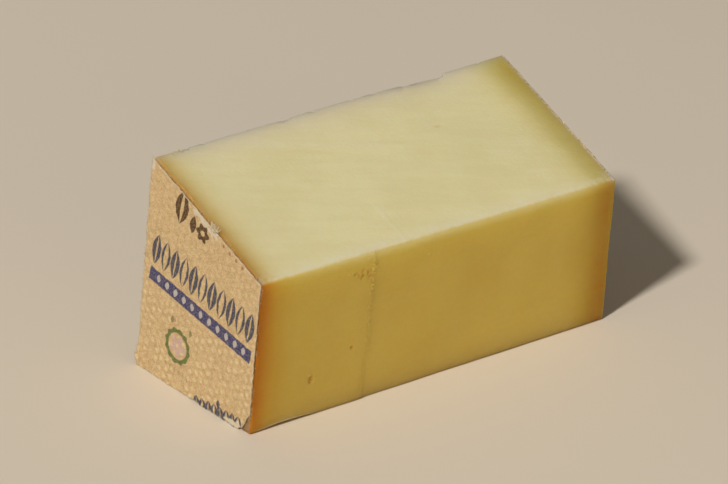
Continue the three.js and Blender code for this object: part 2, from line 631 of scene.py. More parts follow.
@dataclass(frozen=True)
class WedgeForm:
    """The wedge with true cuts, and where the real one lies in the frame.

    In the true wedge X runs from -length / 2 at the label to length / 2 at the bare rind, Y from 0
    at the front face, and Z from 0 at the base.
    """

    depth: float = 41.6 * MM
    front_height: float = 37.9 * MM
    back_height: float = 54.0 * MM
    cut_edge: float = 0.7 * MM
    rind_edge: float = 0.6 * MM
    label_end: EndShift = EndShift(
        (0.7 * MM, 0.0), (0.1 * MM, 0.0), (-1.1 * MM, 0.0), (0.2 * MM, 0.6 * MM)
    )
    bare_end: EndShift = EndShift(
        (-0.9 * MM, 0.0), (0.4 * MM, 0.0), (0.9 * MM, 0.0), (0.1 * MM, -0.7 * MM)
    )
    low: Vector = field(default_factory=lambda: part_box("cheese")[0])
    high: Vector = field(default_factory=lambda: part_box("cheese")[1])

    @property
    def length(self) -> float:
        """The distance from rind to rind."""
        return self.high.x - self.low.x

    @property
    def start(self) -> float:
        """Where the true wedge begins along X, at the label."""
        return -self.length / 2

    @property
    def middle_x(self) -> float:
        """Where the middle of the length lies in the frame."""
        return (self.low.x + self.high.x) / 2

    @property
    def front_y(self) -> float:
        """Where the true front face lies in the frame."""
        return self.low.y - self.bare_end.front_foot[0]

    def top_height(self, y: np.ndarray | float) -> np.ndarray | float:
        """Gives the height of the true top at a distance behind the front face."""
        return self.front_height + (self.back_height - self.front_height) * y / self.depth

    def placed(self, points: Points) -> Points:
        """Moves points of the true wedge to where they lie in the frame.

        Args:
            points: Points of the true wedge.

        Returns:
            The same points in the frame, with the cuts off true as the real ones are.
        """
        along = (points[:, 0] / self.length + 0.5)[:, None]
        back = points[:, 1] / self.depth
        up = points[:, 2] / self.top_height(points[:, 1])
        shift = (1 - along) * self.label_end.at(back, up) + along * self.bare_end.at(back, up)
        return points + shift + np.array([self.middle_x, self.front_y, 0.0])


@dataclass(frozen=True)
class Bite:
    """A round hollow in the surface: an eye of the cheese, a crack or a chip off an edge."""

    centre: tuple[float, float, float]
    radii: tuple[float, float, float]
    unevenness: float = 0.18

    def depth(self, points: Points, normals: Points) -> np.ndarray:
        """Works out how far the surface falls back inside the hollow.

        Args:
            points: Points on the surface.
            normals: Their outward directions.

        Returns:
            The distance that each point moves inwards.
        """
        grain = Grain(seed=31, size=(0.7 * MM,) * 3).at(points)
        radii = np.array(self.radii) * (1.0 + self.unevenness * grain)[:, None]
        offset = (points - np.array(self.centre)) / radii
        inward = -normals / radii
        square = (inward**2).sum(axis=1)
        slant = (offset * inward).sum(axis=1)
        beyond = (offset**2).sum(axis=1) - 1.0
        root = np.sqrt(np.maximum(slant**2 - square * beyond, 0.0))
        return np.where(beyond < 0.0, (root - slant) / square, 0.0)


@dataclass(frozen=True)
class KnifeStep:
    """The low step across the front face where two strokes of the knife met."""

    from_label: float = 33.2 * MM
    depth: float = 0.21 * MM
    lean: float = 0.03
    wander: float = 0.4 * MM
    softness: float = 2.3 * MM
    crumb: float = 0.5 * MM
    crumb_height: float = 0.42 * MM
    crumb_width: float = 0.75 * MM
    crumb_contrast: float = 2.2
    smooth_height: float = 10.0 * MM
    smooth_fade: float = 5.0 * MM
    smooth_share: float = 0.4

    def past(self, form: WedgeForm, points: Points) -> np.ndarray:
        """Measures how far each point lies past the wandering line of the step.

        Args:
            form: The wedge.
            points: Points of the true wedge.

        Returns:
            The distance past the line, which is below 0 on the label's side.
        """
        wander = Grain(seed=3, size=(1.0, 1.0, 2.6 * MM), octaves=3).at(points)
        line = self.from_label + form.start + self.wander * wander
        return points[:, 0] - line - self.lean * (points[:, 2] - form.front_height / 2)

    def crumbs(self, form: WedgeForm, points: Points) -> np.ndarray:
        """Works out where crumbs cling to the line.

        Args:
            form: The wedge.
            points: Points of the true wedge.

        Returns:
            For each point, from 0 between the crumbs to 1 at their middles.
        """
        rough = smooth_step((points[:, 2] - self.smooth_height) / self.smooth_fade)
        crumbly = self.smooth_share + (1.0 - self.smooth_share) * rough
        near = np.exp(-((self.past(form, points) / self.crumb_width) ** 2))
        lumps = Grain(seed=8, size=(self.crumb, 1.0, self.crumb)).at(points)
        return crumbly * near * np.clip(self.crumb_contrast * lumps - 0.1, 0.0, 1.0)

    def relief(self, form: WedgeForm, points: Points) -> np.ndarray:
        """Works out how far the front face stands out at each point.

        Args:
            form: The wedge.
            points: Points of the true wedge.

        Returns:
            The height of the face over the true one, which is below 0 past the step.
        """
        past = self.past(form, points)
        fade = 1.0 - np.clip(past / (form.length - self.from_label), 0.0, 1.0)
        cut = -self.depth * fade * smooth_step(past / self.softness + 0.5)
        return cut + self.crumb_height * self.crumbs(form, points)


@dataclass(frozen=True)
class ScrapeLine:
    """A faint raised line that a nick in the knife left on the sloping top."""

    start: tuple[float, float]
    end: tuple[float, float]
    width: float
    height: float

    def share(self, points: Points) -> np.ndarray:
        """Works out how near each point is to the middle of the line.

        Args:
            points: Points of the true wedge.

        Returns:
            For each point, from 0 well off the line to 1 at its middle.
        """
        start = np.array(self.start)
        side = np.array(self.end) - start
        offset = points[:, :2] - start
        part = (offset @ side) / (side @ side)
        gap = offset - np.clip(part, 0.0, 1.0)[:, None] * side
        across = np.linalg.norm(gap, axis=1) / self.width
        return np.exp(-(across**2))


@dataclass(frozen=True)
class RoughPatch:
    """A patch of the front face that the knife tore instead of cutting."""

    centre: tuple[float, float]
    reach: tuple[float, float]
    height: float = 0.45 * MM
    depth: float = 0.12 * MM
    lump: float = 0.55 * MM

    DEEPEST = 0.45 * MM

    def share(self, points: Points) -> np.ndarray:
        """Works out how far each point belongs to the patch.

        Args:
            points: Points of the true wedge.

        Returns:
            For each point, from 0 outside to 1 well inside its ragged outline.
        """
        flat = points[:, [0, 2]] - np.array(self.centre)
        reach = np.linalg.norm(flat / np.array(self.reach), axis=1)
        ragged = 0.35 * Grain(seed=41, size=(1.2 * MM, 1.0, 1.2 * MM)).at(points)
        return smooth_step((1.0 - reach + ragged) / 0.5)

    def lumps(self, points: Points) -> np.ndarray:
        """Works out the height of the torn lumps, from -1 in the hollows to 1 on the crests."""
        return Grain(seed=42, size=(self.lump, 1.0, self.lump), octaves=2).at(points)

    def relief(self, points: Points) -> np.ndarray:
        """Works out how far the patch stands out from the cut face."""
        return self.share(points) * (self.height * self.lumps(points) - self.depth)

    def hollow(self, points: Points) -> np.ndarray:
        """Works out how far each point lies in a hollow between the lumps, from 0 to 1, as painted
        shade.
        """
        sunk = np.clip(0.3 - 0.9 * self.lumps(points), 0.0, 0.8)
        return self.height / self.DEEPEST * self.share(points) * sunk


@dataclass(frozen=True)
class Flake:
    """The long, thin flake that broke off the top back edge, with one blunt end."""

    length: float = 33.0 * MM
    from_bare_end: float = 19.6 * MM
    blunt: float = 2.4 * MM
    width: float = 1.5 * MM
    drop: float = 5.0 * MM
    roughness: float = 0.4 * MM

    def applied(self, form: WedgeForm, points: Points) -> Points:
        """Moves the points of the lost flake onto the surface that it broke away from.

        Args:
            form: The wedge.
            points: Points of the true wedge.

        Returns:
            The moved points.
        """
        blunt_x = form.length / 2 - self.from_bare_end
        deep_x = blunt_x - self.blunt
        thin_x = blunt_x - self.length
        inner_y = form.depth - self.width
        inner = np.array([deep_x, inner_y, form.top_height(inner_y)])
        below = np.array([deep_x, form.depth, form.back_height - self.drop])
        grain = Grain(seed=12, size=(1.9 * MM, 1.0 * MM, 1.0 * MM), octaves=3)
        rough = self.roughness * grain.at(points)
        gaps = []
        for tip_x in (thin_x, blunt_x):
            tip = np.array([tip_x, form.depth, form.back_height])
            normal = np.cross(inner - tip, below - tip)
            normal = normal / np.linalg.norm(normal)
            if normal[1] < 0:
                normal = -normal
            gaps.append(((points - tip) @ normal + rough, normal))
        moved = points.copy()
        first, second = gaps
        lost = (first[0] > 0) & (second[0] > 0)
        nearer = first[0] < second[0]
        for (gap, normal), chosen in ((first, nearer), (second, ~nearer)):
            rows = lost & chosen
            moved[rows] -= gap[rows, None] * normal
        return moved


@dataclass(frozen=True)
class FootCurl:
    """The stretch of the front foot near the label that arches up off the base."""

    length: float = 21.0 * MM
    rise: float = 0.85 * MM
    depth: float = 10.0 * MM
    fullness: float = 0.8

    def applied(self, form: WedgeForm, points: Points) -> Points:
        """Lifts the underside of the curled stretch.

        Args:
            form: The wedge.
            points: Points of the true wedge.

        Returns:
            The moved points.
        """
        along = np.clip((points[:, 0] - form.start) / self.length, 0.0, 1.0)
        arch = np.sin(math.pi * along) ** self.fullness
        across = np.clip(1.0 - points[:, 1] / self.depth, 0.0, 1.0)
        moved = points.copy()
        moved[:, 2] = np.maximum(points[:, 2], self.rise * arch * across)
        return moved


# ---- Finishes ----


@functools.cache
def mottle_group() -> bpy.types.NodeTree:
    """Builds the shared effect of soft cloudy patches with fine grain in them.

    Returns:
        A shader group: Vector, Patch and Grain sizes in metres, and a Mask from 0 to 1.
    """
    wiring, source, result = mask_group("mottle", ("Patch", "Grain", "Grain Share"))
    layers = []
    for size, detail in (("Patch", 3.0), ("Grain", 2.0)):
        scale = wiring.over(1.0, source[size])
        inputs = {"Vector": source["Vector"], "Scale": scale, "Detail": detail}
        layer = wiring.add("ShaderNodeTexNoise", inputs).outputs[0]
        layers.append(wiring.remap(layer, 0.3, 0.7))
    fine = wiring.times(layers[1], source["Grain Share"])
    broad = wiring.times(layers[0], wiring.minus(1.0, source["Grain Share"]))
    wiring.feed(result["Mask"], wiring.plus(fine, broad))
    return wiring.tree


def mottle(wiring: Wiring, vector: Any, patch: float, grain: float, grain_share: float) -> Any:
    """Places the mottle effect in a material and returns its mask."""
    values = {"Vector": vector, "Patch": patch, "Grain": grain, "Grain Share": grain_share}
    return wiring.group(mottle_group(), values)


def new_material(name: str) -> tuple[bpy.types.Material, Wiring, Any, Any]:
    """Starts a material.

    Args:
        name: Its name.

    Returns:
        The material, its wiring, its Principled shader and its Object coordinates.
    """
    material = bpy.data.materials.new(name)
    material.use_nodes = True
    wiring = Wiring(material.node_tree)
    shader = material.node_tree.nodes["Principled BSDF"]
    place = wiring.add("ShaderNodeTexCoord").outputs["Object"]
    return material, wiring, shader, place


@dataclass(frozen=True)
class CheeseFinish:
    """The look of the cut cheese and its rind: pale, waxy paste that browns towards the rind."""

    low_x: float
    high_x: float
    paste: Colour = (0.70, 0.53, 0.112)
    paste_deep: Colour = (0.665, 0.485, 0.092)
    # painted light: the sloping top is painted paler than the cut faces, in these two colours
    dry_top: Colour = (0.815, 0.755, 0.46)
    dry_top_deep: Colour = (0.78, 0.715, 0.415)
    # painted highlight: the pale, greenish line along the back edge of the top
    dry_edge: Colour = (0.68, 0.69, 0.44)
    # painted shade: the darker colour deep in the eyes and in the hollows of the torn patches
    hollow: Colour = (0.60, 0.34, 0.065)
    crumb: Colour = (0.76, 0.61, 0.19)
    rim: Colour = (0.95, 0.82, 0.50)
    flaky: Colour = (0.79, 0.77, 0.61)
    rind_light: Colour = (0.47, 0.29, 0.115)
    rind_dark: Colour = (0.25, 0.125, 0.045)
    rind_bloom: Colour = (0.56, 0.45, 0.30)
    crumb_share: float = 0.5
    label_reach: float = 12.0 * MM
    bare_reach: float = 17.0 * MM
    bare_widening: float = 0.13
    band_wander: float = 1.0 * MM
    scatter_depth: float = 18.0 * MM
    scatter_weight: float = 0.8
    scatter_share: Colour = (1.0, 1.4, 1.3)
    gloss: float = 0.35
    roughness: tuple[float, float] = (0.40, 0.54)
    rind_roughness: float = 0.35
    grain_height: float = 0.08 * MM
    rind_height: float = 0.35 * MM
    stroke_stretch: float = 11.0

    # Each _TOP ramp is a paler copy of its _FRONT ramp: painted light on the sloping top.
    LABEL_TOP = (
        (0.0, (0.66, 0.38, 0.12)),
        (0.12, (0.82, 0.60, 0.30)),
        (0.28, (0.93, 0.82, 0.60)),
        (0.45, (0.98, 0.94, 0.82)),
        (0.70, (1.0, 0.99, 0.95)),
        (1.0, (1.0, 1.0, 1.0)),
    )
    LABEL_FRONT = (
        (0.0, (0.86, 0.33, 0.0)),
        (0.12, (0.90, 0.45, 0.03)),
        (0.28, (0.95, 0.66, 0.22)),
        (0.45, (0.96, 0.80, 0.48)),
        (0.70, (0.98, 0.92, 0.74)),
        (1.0, (1.0, 1.0, 1.0)),
    )
    BARE_TOP = (
        (0.0, (0.63, 0.48, 0.12)),
        (0.14, (0.67, 0.57, 0.25)),
        (0.30, (0.75, 0.70, 0.42)),
        (0.46, (0.90, 0.85, 0.65)),
        (0.66, (0.98, 0.97, 0.88)),
        (1.0, (1.0, 1.0, 1.0)),
    )
    BARE_FRONT = (
        (0.0, (0.55, 0.19, 0.0)),
        (0.14, (0.64, 0.39, 0.06)),
        (0.30, (0.72, 0.555, 0.22)),
        (0.46, (0.84, 0.76, 0.50)),
        (0.66, (0.94, 0.90, 0.75)),
        (1.0, (1.0, 1.0, 1.0)),
    )

    def along_strokes(self, wiring: Wiring, place: Any) -> Any:
        """Stretches the coordinates along the knife's strokes over the sloping top.

        Args:
            wiring: The material's wiring.
            place: Its Object coordinates.

        Returns:
            The stretched coordinates.
        """
        drag = {"Rotation": (0.0, 0.0, STROKE_ANGLE), "Scale": (self.stroke_stretch, 1.0, 1.0)}
        inputs = {"Vector": place, **drag}
        return wiring.add("ShaderNodeMapping", inputs, vector_type="TEXTURE").outputs[0]

    def browned(self, wiring: Wiring, colour: Any, share: Any, front: Stops, top: Stops) -> Any:
        """Browns the paste near one rind, paler on the sloping top, where painted light makes the
        top lighter than the other cuts.

        Args:
            wiring: The material's wiring.
            colour: The colour of the paste.
            share: The distance from the rind, which is 1 where the band ends.
            front: The band's colours on the other cuts.
            top: Its colours on the sloping top, paler with painted light.

        Returns:
            The browned colour.
        """
        ramps = (wiring.ramp(share, front), wiring.ramp(share, top))
        tint = wiring.tint(wiring.attribute("dry_top"), *ramps)
        return wiring.tint(1.0, colour, tint, "MULTIPLY")

    def cut_colour(self, wiring: Wiring, place: Any) -> Any:
        """Builds the colour of the fresh paste and of the streaky top, which is painted paler as
        painted light.

        Args:
            wiring: The material's wiring.
            place: Its Object coordinates.

        Returns:
            The colour.
        """
        patches = mottle(wiring, place, 14 * MM, 1.1 * MM, 0.25)
        paste = wiring.tint(patches, self.paste_deep, self.paste)
        streaks = wiring.noise(self.along_strokes(wiring, place), 2.6 * MM, detail=4)
        cloud = wiring.scaled(patches, 0.5, wiring.minus(streaks, 0.25))
        lit_top_colour = wiring.tint(wiring.remap(cloud, 0.2, 0.8), self.dry_top_deep, self.dry_top)
        # painted light: the top and the band under its edge take the paler top colour
        return wiring.tint(wiring.attribute("dry_top"), paste, lit_top_colour)

    def from_rinds(self, wiring: Wiring, place: Any) -> tuple[Any, Any]:
        """Measures how far each place lies from both rinds.

        Args:
            wiring: The material's wiring.
            place: Its Object coordinates.

        Returns:
            The distances from the label's rind and from the bare one. Each is 1 where its browned
            band ends.
        """
        axes = wiring.split(place)
        wander = wiring.noise(place, 9 * MM, detail=4)
        wander = wiring.scaled(wander, 2 * self.band_wander, -self.band_wander)
        to_label = wiring.plus(wiring.minus(axes["X"], self.low_x), wander)
        wider = wiring.times(wiring.math("MAXIMUM", axes["Y"], 0.0), self.bare_widening)
        to_bare = wiring.minus(wiring.minus(self.high_x, axes["X"]), wider)
        to_bare = wiring.minus(to_bare, wander)
        return wiring.over(to_label, self.label_reach), wiring.over(to_bare, self.bare_reach)

    def paste_colour(self, wiring: Wiring, place: Any) -> Any:
        """Builds the colour of the cut paste, with both browned bands and every mark on it.

        Args:
            wiring: The material's wiring.
            place: Its Object coordinates.

        Returns:
            The colour.
        """
        from_label, from_bare = self.from_rinds(wiring, place)
        colour = self.cut_colour(wiring, place)
        # painted highlight along the back edge of the top and down the back face
        colour = wiring.tint(wiring.attribute("dry_edge"), colour, self.dry_edge)
        colour = self.browned(wiring, colour, from_label, self.LABEL_FRONT, self.LABEL_TOP)
        colour = self.browned(wiring, colour, from_bare, self.BARE_FRONT, self.BARE_TOP)
        broken = wiring.remap(wiring.noise(place, 1.3 * MM), 0.38, 0.52)
        flakes = wiring.remap(wiring.noise(place, 2.2 * MM, detail=5, rough=0.65), 0.36, 0.60)
        marks = (
            ("crumbs", self.crumb_share, self.crumb),
            ("rim", broken, self.rim),
            ("flaky", flakes, self.flaky),
            # painted shade in the eyes and the torn patches' hollows
            ("hollow", 1.0, self.hollow),
        )
        for name, strength, dressing in marks:
            share = wiring.times(wiring.attribute(name), strength)
            colour = wiring.tint(share, colour, dressing)
        return colour

    def rind_colour(self, wiring: Wiring, place: Any) -> Any:
        """Builds the colour of the rind: brown and grainy, with pale bloom in patches.

        Args:
            wiring: The material's wiring.
            place: Its Object coordinates.

        Returns:
            The colour.
        """
        grain = mottle(wiring, place, 5 * MM, 0.8 * MM, 0.5)
        colour = wiring.tint(grain, self.rind_dark, self.rind_light)
        bloom = wiring.noise(place, 7 * MM, detail=6, rough=0.65)
        return wiring.tint(wiring.remap(bloom, 0.52, 0.72, 0, 0.7), colour, self.rind_bloom)

    def relief(self, wiring: Wiring, place: Any, rind: Any) -> Any:
        """Builds the finest relief: waxy grain on the paste, and a rough, pitted rind.

        Args:
            wiring: The material's wiring.
            place: Its Object coordinates.
            rind: The share of rind.

        Returns:
            The normal.
        """
        lines = wiring.noise(self.along_strokes(wiring, place), 0.7 * MM)
        grain = wiring.noise(place, 0.9 * MM, detail=4, rough=0.6)
        paste = wiring.times(wiring.scaled(lines, 0.5, grain), self.grain_height)
        crust = wiring.noise(place, 1.1 * MM, detail=6, rough=0.7)
        return wiring.bump(wiring.plus(paste, wiring.times(crust, rind, self.rind_height)))

    def material(self) -> bpy.types.Material:
        """Builds the material.

        Returns:
            The material.
        """
        material, wiring, shader, place = new_material("cheese_paste_and_rind")
        rind = wiring.attribute("rind")
        bare = wiring.minus(rind, wiring.attribute("rim"), clamp=True)
        colour = wiring.tint(
            bare, self.paste_colour(wiring, place), self.rind_colour(wiring, place)
        )
        sheen = mottle(wiring, place, 6 * MM, 0.6 * MM, 0.4)
        rough = wiring.remap(sheen, 0.0, 1.0, *self.roughness)
        values = {
            "Base Color": colour,
            "Roughness": wiring.scaled(rind, self.rind_roughness, rough, clamp=True),
            "Normal": self.relief(wiring, place, rind),
            "Subsurface Weight": self.scatter_weight,
            "Subsurface Radius": self.scatter_share,
            "Subsurface Scale": self.scatter_depth,
            "Specular IOR Level": self.gloss,
        }
        for name, value in values.items():
            wiring.feed(shader.inputs[name], value)
        return material


@dataclass(frozen=True)
class SpeckFinish:
    """The look of small loose grains and fibres: crumbs of rind, pale crystals or torn paper."""

    name: str
    light: Colour
    dark: Colour
    roughness: float
    bump_height: float = 0.04 * MM

    def material(self) -> bpy.types.Material:
        """Builds the material.

        Returns:
            The material.
        """
        material, wiring, shader, place = new_material(self.name)
        grain = mottle(wiring, place, 0.8 * MM, 0.15 * MM, 0.5)
        rough = wiring.remap(grain, 0.0, 1.0, self.roughness, self.roughness + 0.1)
        wiring.feed(shader.inputs["Base Color"], wiring.tint(grain, self.dark, self.light))
        wiring.feed(shader.inputs["Roughness"], rough)
        wiring.feed(shader.inputs["Normal"], wiring.bump(wiring.times(grain, self.bump_height)))
        return material


# ---- The label's print ----


def soft_edge(wiring: Wiring, inner: Any, outer: Any, softness: Any) -> Any:
    """Masks where one distance is larger than another, from 0 to 1 over a soft edge."""
    return wiring.plus(wiring.over(wiring.minus(inner, outer), softness), 0.5, clamp=True)


@functools.cache
def leaf_row_group() -> bpy.types.NodeTree:
    """Builds the mask of a row of upright, pointed leaves, with a wide and a narrow slit in turn.

    Returns:
        A shader group that reads a place on the print in millimetres.
    """
    sizes = ("Start", "Middle", "Pitch", "Count", "Half Width", "Half Height", "Slit", "Softness")
    wiring, source, result = mask_group("ink_leaf_row", sizes)
    axes = wiring.split(source["Vector"])
    along = wiring.over(wiring.minus(axes["X"], source["Start"]), source["Pitch"])
    turn = wiring.math("FLOOR", along)
    offset = wiring.minus(wiring.minus(along, turn), 0.5)
    offset = wiring.math("ABSOLUTE", wiring.times(offset, source["Pitch"]))
    up = wiring.over(wiring.minus(axes["Y"], source["Middle"]), source["Half Height"])
    belly = wiring.minus(1.0, wiring.times(up, up))
    half = wiring.times(belly, source["Half Width"])
    slit_share = wiring.scaled(wiring.math("PINGPONG", turn, 1.0), 0.65, 0.35)
    slit = wiring.times(source["Slit"], slit_share, belly)
    ink = wiring.times(
        soft_edge(wiring, half, offset, source["Softness"]),
        soft_edge(wiring, offset, slit, source["Softness"]),
        wiring.math("GREATER_THAN", along, 0.0),
        wiring.math("LESS_THAN", along, source["Count"]),
    )
    wiring.feed(result["Mask"], ink)
    return wiring.tree


@functools.cache
def rosette_group() -> bpy.types.NodeTree:
    """Builds the mask of one round flower with lobes.

    Returns:
        A shader group that reads a place on the print in millimetres.
    """
    sizes = ("Across", "Up", "Radius", "Lobes", "Lobe Depth", "Eye", "Softness")
    wiring, source, result = mask_group("ink_rosette", sizes)
    axes = wiring.split(source["Vector"])
    across = wiring.minus(axes["X"], source["Across"])
    up = wiring.minus(axes["Y"], source["Up"])
    squares = wiring.plus(wiring.times(across, across), wiring.times(up, up))
    distance = wiring.math("SQRT", squares)
    angle = wiring.times(wiring.math("ARCTAN2", up, across), source["Lobes"])
    lobe = wiring.times(wiring.math("COSINE", angle), source["Lobe Depth"])
    rim = wiring.times(source["Radius"], wiring.plus(1.0, lobe))
    ink = wiring.times(
        soft_edge(wiring, rim, distance, source["Softness"]),
        soft_edge(wiring, distance, source["Eye"], source["Softness"]),
    )
    wiring.feed(result["Mask"], ink)
    return wiring.tree


class Ink(Enum):
    """The inks of the print, as linear colours."""

    BLUE = (0.045, 0.052, 0.15)
    SLATE = (0.055, 0.062, 0.10)
    BROWN = (0.085, 0.042, 0.016)
    GREEN = (0.13, 0.17, 0.045)
    PINK = (0.62, 0.42, 0.37)
    RED = (0.36, 0.09, 0.05)
    OLIVE = (0.36, 0.29, 0.13)
    PALE = (0.62, 0.55, 0.47)


@dataclass(frozen=True)
class Motif:
    """Something printed in one ink, with its sizes in millimetres on the print."""

    ink: Ink
    strength: float = field(default=1.0, kw_only=True)

    def sizes(self) -> dict[str, float]:
        """Lists its own sizes, named as its shader group names its inputs."""
        own = [item.name for item in fields(self) if item.name not in ("ink", "strength")]
        return {name.replace("_", " ").title(): getattr(self, name) for name in own}


@dataclass(frozen=True)
class LeafRow(Motif):
    """A printed row of leaves."""

    start: float
    middle: float
    pitch: float
    count: float
    half_width: float
    half_height: float
    slit: float = -1.0

    def mask(self, wiring: Wiring, place: Any, softness: float) -> Any:
        """Places the row in a material and returns its ink."""
        values = {"Vector": place, "Softness": softness, **self.sizes()}
        return wiring.group(leaf_row_group(), values)


@dataclass(frozen=True)
class Rosette(Motif):
    """A printed round flower."""

    across: float
    up: float
    radius: float
    lobes: float = 6.0
    lobe_depth: float = 0.0
    eye: float = -1.0

    def mask(self, wiring: Wiring, place: Any, softness: float) -> Any:
        """Places the flower in a material and returns its ink."""
        values = {"Vector": place, "Softness": softness, **self.sizes()}
        return wiring.group(rosette_group(), values)


@dataclass(frozen=True)
class Band(Motif):
    """A printed bar."""

    start: float
    end: float
    bottom: float
    top: float

    def mask(self, wiring: Wiring, place: Any, softness: float) -> Any:
        """Builds the bar in a material.

        Args:
            wiring: The material's wiring.
            place: The place on the print, in millimetres.
            softness: The width of the ink's edge.

        Returns:
            The bar's ink.
        """
        axes = wiring.split(place)
        gaps = [
            wiring.minus(axes["X"], self.start),
            wiring.minus(self.end, axes["X"]),
            wiring.minus(axes["Y"], self.bottom),
            wiring.minus(self.top, axes["Y"]),
        ]
        least = functools.reduce(functools.partial(wiring.math, "MINIMUM"), gaps)
        return soft_edge(wiring, least, 0.0, softness)


@dataclass(frozen=True)
class PaperFinish:
    """The look of the label: tan embossed paper, printed, with pale torn edges."""

    origin: tuple[float, float]
    paper: Colour = (0.73, 0.56, 0.275)
    paper_pink: Colour = (0.77, 0.53, 0.30)
    paper_raised: Colour = (0.78, 0.61, 0.335)
    paper_warm: Colour = (0.50, 0.33, 0.155)
    torn: Colour = (0.70, 0.61, 0.45)
    print_angle: float = math.radians(9.1)
    foot_angle: float = math.radians(-4.8)
    edge_angle: float = math.radians(21.0)
    softness: float = 0.22
    wear: float = 0.22
    fuzz_height: float = 0.42 * MM
    gloss: float = 0.25

    def motifs(self) -> list[tuple[float, list[Motif]]]:
        """Lists what is printed.

        Returns:
            Each angle at which the print runs, with the motifs that run that way.
        """
        main = [
            LeafRow(Ink.SLATE, -2.2, 32.3, 3.45, 11, 1.6, 4.0, slit=0.75),
            Band(Ink.BLUE, -1.4, 36.2, 23.9, 27.3),
            LeafRow(Ink.PALE, 0.4, 25.6, 3.15, 11, 0.7, 1.05, strength=0.85),
            LeafRow(Ink.BROWN, 3.0, 47.4, 4.6, 1, 2.3, 4.4, slit=1.6),
            LeafRow(Ink.BROWN, 8.2, 45.4, 3.2, 1, 1.1, 2.3),
            Rosette(Ink.BROWN, 13.4, 45.2, 2.05, 6, 0.16, eye=0.7),
            Rosette(Ink.GREEN, 12.2, 13.2, 4.4, 12, 0.05, eye=3.3),
            Rosette(Ink.PINK, 12.2, 13.2, 2.3, 5, 0.3, eye=0.5, strength=0.85),
            LeafRow(Ink.GREEN, 5.6, 18.8, 6.7, 2, 0.55, 1.0, strength=0.75),
            Rosette(Ink.RED, 9.8, 19.1, 0.5, strength=0.6),
            LeafRow(Ink.OLIVE, 8.6, 6.9, 1.6, 6, 0.42, 0.65, strength=0.55),
        ]
        foot = [
            LeafRow(Ink.SLATE, 21.0, -1.7, 2.15, 8, 1.25, 1.95, slit=0.3),
            LeafRow(Ink.SLATE, 29.0, 0.5, 1.8, 1, 0.6, 1.2),
        ]
        edge = [LeafRow(Ink.RED, 9.6, 49.7, 2.45, 4, 0.42, 0.55, strength=0.75)]
        return [(self.print_angle, main), (self.foot_angle, foot), (self.edge_angle, edge)]

    def print_place(self, wiring: Wiring, place: Any, angle: float) -> Any:
        """Turns Object coordinates into millimetres across and up the print.

        Args:
            wiring: The material's wiring.
            place: Its Object coordinates.
            angle: The angle at which the print runs.

        Returns:
            The place on the print.
        """
        offset = wiring.vector("SUBTRACT", place, (0.0, *self.origin))
        cosine = math.cos(angle) * PER_MM
        sine = math.sin(angle) * PER_MM
        across = wiring.dot(offset, (0.0, -cosine, -sine))
        up = wiring.dot(offset, (0.0, -sine, cosine))
        return wiring.add("ShaderNodeCombineXYZ", {0: across, 1: up}).outputs[0]

    def paper_colour(self, wiring: Wiring, place: Any) -> Any:
        """Builds the colour of the bare paper, paler where the emboss stands up.

        Args:
            wiring: The material's wiring.
            place: Its Object coordinates.

        Returns:
            The colour.
        """
        fibres = mottle(wiring, place, 1.3 * MM, 0.42 * MM, 0.6)
        tone = wiring.remap(wiring.noise(place, 0.9 * MM), 0.38, 0.62)
        colour = wiring.tint(tone, self.paper, self.paper_pink)
        colour = wiring.tint(fibres, colour, self.paper_warm)
        worn = wiring.noise(place, 1.3 * MM, detail=4, rough=0.6)
        raised = wiring.times(wiring.attribute("emboss"), wiring.remap(worn, 0.3, 0.6))
        return wiring.tint(raised, colour, self.paper_raised)

    def material(self) -> bpy.types.Material:
        """Builds the material.

        Returns:
            The material.
        """
        material, wiring, shader, place = new_material("label_paper")
        colour = self.paper_colour(wiring, place)
        wear = wiring.noise(place, 0.5 * MM, detail=4, rough=0.65)
        wear = wiring.remap(wear, 0.35, 0.62, 1.0 - self.wear, 1.0)
        for angle, motifs in self.motifs():
            spot = self.print_place(wiring, place, angle)
            for motif in motifs:
                mask = motif.mask(wiring, spot, self.softness)
                ink = wiring.times(mask, wear, motif.strength)
                colour = wiring.tint(ink, colour, motif.ink.value)
        fuzz = wiring.noise(place, 0.5 * MM, detail=5, rough=0.7)
        values = {
            "Base Color": wiring.tint(wiring.attribute("torn"), colour, self.torn),
            "Roughness": wiring.remap(fuzz, 0.0, 1.0, 0.75, 0.95),
            "Normal": wiring.bump(wiring.times(fuzz, self.fuzz_height)),
            "Specular IOR Level": self.gloss,
        }
        for name, value in values.items():
            wiring.feed(shader.inputs[name], value)
        return material


# ---- The cheese ----


